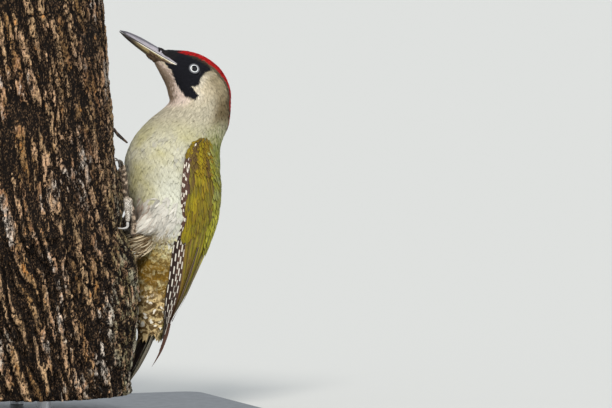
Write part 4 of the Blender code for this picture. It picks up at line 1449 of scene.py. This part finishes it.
def add_bill(feathers):
    upper, lower = bill_paints()
    upper_bill = smooth_copy("upper_bill", "bill_horn", upper, "bill_upper", voxel=0.3)
    lower_bill = smooth_copy("lower_bill", "bill_horn", lower, "bill_lower", voxel=0.3)
    add_bill_sides(upper, lower)
    most = 520
    nostrils, chin = ((0.012, 0.011, 0.012), (0.03, 0.022, 0.02)), ((0.03, 0.018, 0.010), (0.24, 0.15, 0.09))
    for name, piece, tints, reach, map_height in (
        ("coat_nostrils", upper_bill, nostrils, 3.6, 0.90),
        ("coat_chin", lower_bill, chin, 4.4, 0.94),
    ):
        places, normals = points_of(piece), normals_of(piece)
        along, height = on_bill(places)
        upward = normals @ np.array([BILL_SINE, 0.0, BILL_COSINE])
        if piece is lower_bill:
            chosen = (along > 25.5) & (along < 38.0) & ((upward < -0.4) | (height < bare_foot(along) + 0.6))
        else:
            chosen = (along > 31.0) & (along < 41.0) & ((upward > 0.5) | (height > bare_top(along) - 0.2))
        chosen = np.flatnonzero(chosen)
        chosen = chance.choice(chosen, min(len(chosen), most), replace=False)
        add_fringe(name, places[chosen], normals[chosen], along[chosen], reach, tints, map_height, feathers)


def foot_paint():
    """Scaly skin, brown as painted shade and paler on the shank and the outer toe as painted light."""
    paint = Paint("Scaled skin", roughness=0.55)
    cells = {"Vector": paint.here, "Scale": 800.0}
    scales = paint.node("ShaderNodeTexVoronoi", {"feature": "DISTANCE_TO_EDGE"}, "Distance", cells)
    tone, (x, _, z) = paint.grain(330.0), paint.parts(paint.here)
    colour = paint.mix(tone.ramp(0.46, 0.60), (0.09, 0.055, 0.030), (0.72, 0.54, 0.38))
    pale = paint.mix(tone.ramp(0.30, 0.60), (0.32, 0.26, 0.19), (0.80, 0.73, 0.63))
    # Painted light: a paler grey on the shank and the outer toe; the brown elsewhere is painted shade.
    colour = paint.mix(z.ramp(0.164, 0.158) * x.ramp(0.0425, 0.0405), colour, pale)
    paint.set("Base Color", paint.mix(scales.ramp(0.10, 0.0), colour, (0.03, 0.025, 0.02)))
    paint.bump(scales.ramp(0.0, 0.2), 0.25)
    return paint.material


def claw_paint(name, dark, light, roughness):
    paint = Paint(name, roughness=roughness)
    paint.set("Base Color", paint.mix(paint.grain(350.0), dark, light))
    return paint.material


def add_legs():
    skin = foot_paint()
    claw = claw_paint("Claw", (0.30, 0.27, 0.24), (0.80, 0.78, 0.74), 0.28)
    dark_claw = claw_paint("Dark claw", (0.015, 0.012, 0.010), (0.16, 0.13, 0.10), 0.3)
    for side in SIDES:
        foot = smooth_copy("foot_" + side, "foot_skin", skin, "leg_" + side, rounds=3)
        set_points(foot, points_of(foot) + normals_of(foot) * 0.3)
        for toe in ("hind", "inner", "middle", "outer"):
            horned = claw if toe == "outer" else dark_claw
            name, node = f"nail_{toe}_{side}", f"claw_{toe}_{side}"
            smooth_copy(name, "claw_horn", horned, node, voxel=0.2, rounds=3)


# --- Trunk --------------------------------------------------------------------
LOG_BOTTOM, LOG_TOP = 20.0, 313.0
# The trunk's axis, as x, and its radius: at the bottom and at the top
LOG_AXIS, LOG_RADIUS = (-29.3, -43.0), (73.7, 65.8)
# Where the trunk swells behind the tail, and the smoother bark under each foot
SWELLING = {"angle": -24.0, "height": 112.0, "rise": 10.4, "half_angle": 44.0, "above": 27.0, "below": 80.0}
FOOT_PLATE = {"angle": 17.0, "height": 166.0, "rise": 4.4, "half_angle": 16.0, "above": 31.0, "below": 30.0}
# The side that faces the bird, in degrees; the radius at which the bark's pattern is laid out
BIRD_SIDE, PATTERN_RADIUS = -30.0, 70.0


def bulge(angle, height, place):
    """A smooth rise of the trunk's surface, widest at its place."""
    aside = off_axis(angle, place["angle"]) / place["half_angle"]
    above = np.clip((height - place["height"]) / place["above"], 0, 1)
    below = np.clip((place["height"] - height) / place["below"], 0, 1)
    along = np.cos(np.pi / 2 * above) ** 1.2 * (1 - below**2)
    return place["rise"] * np.cos(np.pi / 2 * np.clip(aside, 0, 1)) ** 1.5 * along


def on_log(angle, height, out):
    share = (height - LOG_BOTTOM) / (LOG_TOP - LOG_BOTTOM)
    radius = LOG_RADIUS[0] + (LOG_RADIUS[1] - LOG_RADIUS[0]) * share + out
    turn = np.radians(angle)
    axis = LOG_AXIS[0] + (LOG_AXIS[1] - LOG_AXIS[0]) * share
    return np.stack([axis + radius * np.cos(turn), radius * np.sin(turn), height], -1)


def drift(u, z, wide, high, wrap, seed):
    """Smooth noise from -1 to 1 that repeats after wrap in u."""
    columns = max(int(round(wrap / wide)), 1)
    table = np.random.default_rng(seed).uniform(-1, 1, (columns, 2 + int(np.ptp(z) / high) + 1))
    x, y = u / wrap * columns, (z - z.min()) / high
    i, j = np.floor(x).astype(int), np.floor(y).astype(int)
    fx, fy = x - i, y - j
    fx, fy = fx * fx * (3 - 2 * fx), fy * fy * (3 - 2 * fy)
    a, b = table[i % columns, j], table[(i + 1) % columns, j]
    c, d = table[i % columns, j + 1], table[(i + 1) % columns, j + 1]
    return (a * (1 - fx) + b * fx) * (1 - fy) + (c * (1 - fx) + d * fx) * fy


def plates(u, z, wide, high, wrap, seed):
    """Scattered plates: how far inside its plate a place lies, as a share, and each plate's own luck."""
    columns = max(int(round(wrap / wide)), 1)
    low = z.min() - high
    rows = int((z.max() - low) / high) + 3
    draw = np.random.default_rng(seed)
    shift, luck = draw.uniform(0.1, 0.9, (columns, rows, 2)), draw.uniform(0, 1, (columns, rows))
    start = draw.uniform(0, 1, columns)
    x = u / wrap * columns
    i = np.floor(x).astype(int)
    first, second, owner = np.full(u.shape, 9.0), np.full(u.shape, 9.0), np.zeros(u.shape)
    for di in (-1, 0, 1):
        column = (i + di) % columns
        y = (z - low) / high - start[column]
        j = np.floor(y).astype(int)
        for dj in (-1, 0, 1):
            row = np.clip(j + dj, 0, rows - 1)
            away = np.hypot(i + di + shift[column, row, 0] - x, j + dj + shift[column, row, 1] - y)
            nearer = away < first
            second = np.where(nearer, first, np.minimum(second, away))
            owner = np.where(nearer, luck[column, row], owner)
            first = np.where(nearer, away, first)
    return second - first, owner


def bark_relief(angle, height):
    """How far the bark stands out there, in millimetres, from the tops of its ridges.

    Also the same without the height of its plate, and the luck of its plate. Long slanting strips are broken
    into chips, and those into flakes.
    """
    wrap = 2 * math.pi * PATTERN_RADIUS
    arc = np.radians(angle) * PATTERN_RADIUS
    toward_bird = rise(off_axis(angle, BIRD_SIDE), 75, 35)

    def wander(wide, high, seed):
        return drift(arc, height, wide, high, wrap, seed)

    u = arc + 0.20 * (height - 160) + 5.0 * wander(30, 70, 3) + 1.6 * wander(7, 22, 4)
    strip, strip_luck = plates(u, height, 7.6, 80.0, wrap, 11)
    chip_u, chip_height = u + 0.9 * wander(3, 8, 8), height + 3 * wander(5, 9, 9)
    chip, chip_luck = plates(chip_u, chip_height, 2.6, 15.0, wrap, 12)
    flake, flake_luck = plates(u + 0.7 * wander(2, 5, 10), height, 1.5, 6.0, wrap, 13)
    groove = 1 - rise(np.maximum(strip, 0.30 * chip), 0.04, 0.36)
    crack = 1 - rise(chip, 0.02, 0.30)
    nick = 1 - rise(flake, 0.02, 0.30)
    relief = -4.6 * groove * (1 - 0.45 * toward_bird) - 1.7 * strip_luck - crack * (1.6 + 0.6 * toward_bird)
    relief -= 0.9 * chip_luck + nick * (0.6 + 0.1 * toward_bird) + 0.35 * flake_luck
    relief += 0.7 * wander(2.2, 6.5, 17) + 2.2
    depth = relief + 1.7 * strip_luck + 0.7 * chip_luck
    return relief, depth, 0.5 * strip_luck + 0.3 * chip_luck + 0.2 * flake_luck


def add_trunk():
    """The barked trunk in one closed mesh, with finer steps on the side that faces the bird."""
    fine, coarse, rows = 0.92, 1.8, 300
    angles = np.concatenate([np.arange(-205.0, 30.0, fine), np.arange(30.0, 155.0, coarse)])
    heights = np.linspace(LOG_BOTTOM, LOG_TOP, rows)
    angle, height = (grid.ravel() for grid in np.meshgrid(angles, heights))
    relief, depth, luck = bark_relief(angle, height)
    # The furrows are shallower under the feet, so that the toes lie on bark
    for sign in (-1, 1):
        foot = bulge(angle * sign, height, FOOT_PLATE)
        relief = np.where(foot > 0, np.maximum(relief, relief * 0.5 + foot - 0.8), relief)
    rim = 1 - rise(np.minimum(height - LOG_BOTTOM, LOG_TOP - height), 0.0, 1.5)
    points = on_log(angle, height, bulge(angle, height, SWELLING) + relief - 0.8 * rim)
    columns = len(angles)
    around, floors = np.arange(columns), np.arange(rows - 1)[:, None] * columns
    cell, beside = (floors + around).ravel(), (floors + (around + 1) % columns).ravel()
    quads = np.stack([cell, beside, beside + columns, cell + columns], -1)
    # The sawn faces are fans round two centres, which have no bark
    centres = on_log(np.zeros(2), np.array([LOG_BOTTOM, LOG_TOP]), -np.array(LOG_RADIUS))
    pith, last, onward = np.full(columns, len(points)), (rows - 1) * columns, (around + 1) % columns
    bottom = np.stack([around, pith, onward], -1)
    top = np.stack([last + around, last + onward, pith + 1], -1)
    marks = np.concatenate([np.stack([depth, luck, luck * 0], -1), [(-9, 0, 0), (-9, 0, 0)]])
    trunk = make_mesh("trunk", np.concatenate([points, centres]), [quads, bottom, top], None, marks)
    trunk.data.shade_smooth()
    trunk.data.set_sharp_from_angle(angle=math.radians(70))
    finish_piece(trunk, bark_paint(), "bark", "perch_log")
    trunk.data.materials.append(cut_wood_paint())
    ends = np.zeros(len(trunk.data.polygons), np.int32)
    ends[len(quads) :] = 1
    trunk.data.polygons.foreach_set("material_index", ends)


def bark_paint():
    """Ridges with a face of brown, red, pale and mossy patches, over furrows painted near black as shade,
    with brown speckles.
    """
    paint = Paint("Bark", roughness=0.92, specular_ior_level=0.15)
    furrow_shade, speckle = (0.006, 0.004, 0.003), (0.18, 0.105, 0.055)
    brown, dark_brown, red = (0.46, 0.28, 0.165), (0.23, 0.11, 0.052), (0.52, 0.19, 0.05)
    pale, moss, lichen_green = (0.50, 0.45, 0.39), (0.12, 0.12, 0.02), (0.17, 0.16, 0.08)
    relief, luck, _ = paint.parts(paint.attribute("vane", "Vector"))
    fibres = paint.grain((420.0, 420.0, 90.0), 5.0, 0.65, 0.4)
    grit = paint.grain((1100.0, 1100.0, 600.0), 3.0, 0.6)
    patch, hue = paint.grain((38.0, 38.0, 22.0)), paint.grain((210.0, 210.0, 110.0))
    x, y, z = paint.parts(paint.here)

    face = paint.mix((luck + hue - 0.5).ramp(0.25, 0.8), brown, dark_brown)
    face = paint.mix(hue.ramp(0.60, 0.68) * 0.8, face, red)
    weathered = patch + hue * 0.5 + z.ramp(0.19, 0.09) * 0.07
    face = paint.mix(weathered.ramp(0.80, 0.95) * 0.8, face, pale)
    mossy = (patch * -1.0 + grit * 0.5 + hue * 0.4).ramp(-0.12, 0.06)
    face = paint.mix(mossy * 0.25, face, moss)
    toward_bird = x * 0.94 + y * -0.34
    lichen = toward_bird.ramp(0.026, 0.040) * hue.ramp(0.35, 0.55)
    face = paint.mix(lichen * 0.7, face, lichen_green)
    # Painted shade: on the bird's side, from 9 to 14 cm up, the bark's face is darkened by up to 30 %.
    bird_side_shade = 1.0 - toward_bird.ramp(-0.03, 0.02) * z.ramp(0.09, 0.14) * 0.30
    face = paint.brighten(face, (fibres.ramp(0.38, 0.60) + grit.ramp(0.42, 0.60) * 0.95) * bird_side_shade)

    # Painted shade: the low parts of the relief are near black, with speckles of brown.
    shaded_furrows = paint.mix(grit.ramp(0.50, 0.64) * fibres.ramp(0.40, 0.58), furrow_shade, speckle)
    high = (relief + fibres * 5.4 + grit * 3.4 - 5.7).ramp(-1.2, 1.1)
    paint.set("Base Color", paint.mix(high, shaded_furrows, face))
    paint.bump(fibres + grit * 0.5, 1.1)
    return paint.material


def cut_wood_paint():
    """Growth rings round the pith, with fine checks that run out from it, and the dark edge of the bark."""
    paint = Paint("Cut wood", roughness=0.8)
    x, y, _ = paint.parts(paint.here)
    x, y = (x - LOG_AXIS[1] * MM) * (1 / MM), y * (1 / MM)
    away = (x * x + y * y) ** 0.5 + paint.grain(30.0, 2.0) * 9.0
    rings = (away * 2.1).math("SINE") * 0.5 + 0.5
    pores = paint.grain(900.0)
    wood = paint.mix(rings.ramp(0.2, 0.95), (0.47, 0.31, 0.17), (0.27, 0.155, 0.07))
    wood = paint.mix(away.ramp(44.0, 30.0) * 0.5, wood, (0.25, 0.13, 0.06))
    wood = paint.brighten(wood, pores * 0.5 + 0.7)
    paint.set("Base Color", paint.mix(away.ramp(61.0, 63.5), wood, (0.035, 0.02, 0.012)))
    paint.bump(rings * 0.5 + pores, 0.15)
    return paint.material


def add_splinter():
    """The dry splinter on the bark, with its root bent in and up to meet the ridge there."""
    paint = Paint("Splinter", roughness=0.9)
    grain = paint.grain((500.0, 500.0, 200.0), 4.0)
    paint.set("Base Color", paint.mix(grain.ramp(0.35, 0.65), (0.012, 0.008, 0.006), (0.10, 0.06, 0.035)))
    paint.bump(grain, 0.5)
    splinter = smooth_copy("splinter", "bark", paint.material, "perch_splinter", voxel=0.4, rounds=2)
    places = points_of(splinter)
    root = places[:, 0].min()
    places[:, 0] -= 3.5 * rise(places[:, 0], root + 3.0, root)
    places[:, 2] += 2.5 * rise(places[:, 0], root + 3.0, root)
    set_points(splinter, places)


# --- Stand --------------------------------------------------------------------
def lacquer_paint():
    coat = {"coat_weight": 0.25, "coat_roughness": 0.2}
    paint = Paint("Black lacquer", base_color=(0.012, 0.012, 0.013), **coat)
    orange_peel = paint.grain(160.0)
    paint.set("Roughness", orange_peel * 0.14 + 0.30)
    paint.bump(orange_peel, 0.05)
    return paint.material


def steel_paint():
    paint = Paint("Brushed steel", metallic=1.0, base_color=(0.55, 0.55, 0.56))
    brush = paint.grain((300.0, 300.0, 5000.0), 2.0)
    paint.set("Roughness", brush * 0.25 + 0.2)
    paint.bump(brush, 0.02)
    return paint.material


def finish_stand():
    """The stand keeps its modelled pieces and gets its materials."""
    steel = steel_paint()
    for node, material, slot in (
        ("stand_base", lacquer_paint(), "stand_black"),
        ("stand_rod_1", steel, "stand_steel"),
        ("stand_rod_2", steel, "stand_steel"),
    ):
        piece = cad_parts[node]
        piece.data.materials.clear()
        piece.data.materials.append(material)


# --- All the pieces, in the order in which they draw on chance ----------------
add_skin()
soft = feather_paint()
add_body_coat(soft)
for side, sign in SIDES.items():
    add_thigh_coat(side, sign, soft)
for side, sign in SIDES.items():
    add_flank_tuft(side, sign, soft)
    add_strands(side, sign, soft)
add_vent_feathers(vent_paint())
GLOSS = {"roughness": 0.55, "specular_ior_level": 0.25}
SPECKS, LINES = (0.05, 0.026, 0.022), (0.045, 0.02, 0.022)
wing_paints = {
    "core": Paint("Under the wing feathers", roughness=0.7, base_color=(0.03, 0.02, 0.012)).material,
    "plain": quill_paint("Green feathers", 14.0, seam=SPECKS, roughness=0.6, specular_ior_level=0.2),
    "scaly": quill_paint(
        "Shoulder feathers", 6.0, edge=(0.055, 0.028, 0.010), roughness=0.65, specular_ior_level=0.15
    ),
    "lined": quill_paint("Brown feathers", 20.0, edge=(0.25, 0.15, 0.04), seam=LINES, **GLOSS),
    "barred": quill_paint(
        "Barred feathers", 12.0, (0.0, -0.42), (-0.93, -0.55), roughness=0.5, specular_ior_level=0.25
    ),
    "spotted": quill_paint("Spotted feathers", 16.0, (5.0, 0.25), (-0.85, -0.25), **GLOSS),
    "dotted": quill_paint("Dotted feathers", 6.0, (1.1, 0.2), (-0.8, 0.2), **GLOSS),
    "rear": quill_paint("Rear feathers", 20.0, edge=(0.42, 0.30, 0.14), **GLOSS),
    "tail": quill_paint("Tail feathers", 20.0, edge=(0.72, 0.62, 0.40), **GLOSS),
}
for side, sign in SIDES.items():
    add_wing(side, sign, wing_paints)
add_tail(wing_paints)
add_eyes()
add_bill(soft)
add_legs()
add_trunk()
add_splinter()
finish_stand()

# --- Stage, light and camera --------------------------------------------------
# The camera looks at TARGET from DISTANCE metres, and sees WIDTH_SEEN metres across there
TARGET, DISTANCE, AZIMUTH, ELEVATION = Vector((0.1674, -0.0455, 0.1561)), 3.7, -20.0, 3.0
WIDTH_SEEN, SENSOR = 0.4468, 36.0
FLOOR_SIDE = 120.0


def toward(azimuth, elevation):
    """The direction that points to something so many degrees round from the front, and up."""
    turn, lift = math.radians(azimuth), math.radians(elevation)
    return Vector((math.sin(turn) * math.cos(lift), -math.cos(turn) * math.cos(lift), math.sin(lift)))


def add_stage():
    bpy.ops.mesh.primitive_plane_add(size=FLOOR_SIDE, location=(0, 0, 0))
    floor = bpy.context.active_object
    floor.name = "floor"
    paint = Paint("Floor", roughness=0.9, specular_ior_level=0.2, base_color=(0.62, 0.61, 0.58))
    floor.data.materials.append(paint.material)
    floor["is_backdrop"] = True
    world = bpy.data.worlds.new("Studio")
    world.use_nodes = True
    sky = world.node_tree.nodes["Background"]
    sky.inputs["Color"].default_value = (0.86, 0.93, 1.0, 1.0)
    sky.inputs["Strength"].default_value = 0.75
    bpy.context.scene.world = world
    for name, azimuth, elevation, strength, softness, colour in (
        ("Key", -30, 42, 2.2, 18, (1.0, 0.97, 0.92)),
        ("Fill", 35, 25, 0.6, 60, (0.95, 0.98, 1.0)),
    ):
        light = bpy.data.objects.new(name, bpy.data.lights.new(name, "SUN"))
        light.data.energy, light.data.angle, light.data.color = strength, math.radians(softness), colour
        light.rotation_mode = "QUATERNION"
        light.rotation_quaternion = toward(azimuth, elevation).to_track_quat("Z", "Y")
        bpy.context.scene.collection.objects.link(light)


def add_camera():
    camera = bpy.data.objects.new("Camera", bpy.data.cameras.new("Camera"))
    back_from_target = toward(AZIMUTH, ELEVATION)
    camera.location = TARGET + back_from_target * DISTANCE
    camera.rotation_mode = "QUATERNION"
    camera.rotation_quaternion = (-back_from_target).to_track_quat("-Z", "Y")
    camera.data.sensor_width = SENSOR
    camera.data.lens = SENSOR * DISTANCE / WIDTH_SEEN
    camera.data.clip_start, camera.data.clip_end = 0.1, 200.0
    bpy.context.scene.collection.objects.link(camera)
    bpy.context.scene.camera = camera


add_stage()
add_camera()
bpy.context.scene.view_settings.view_transform = "Standard"

for what, box in (("cad", cad_box), ("shown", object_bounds())):
    json.dumps({what: [list(corner) for corner in box]})
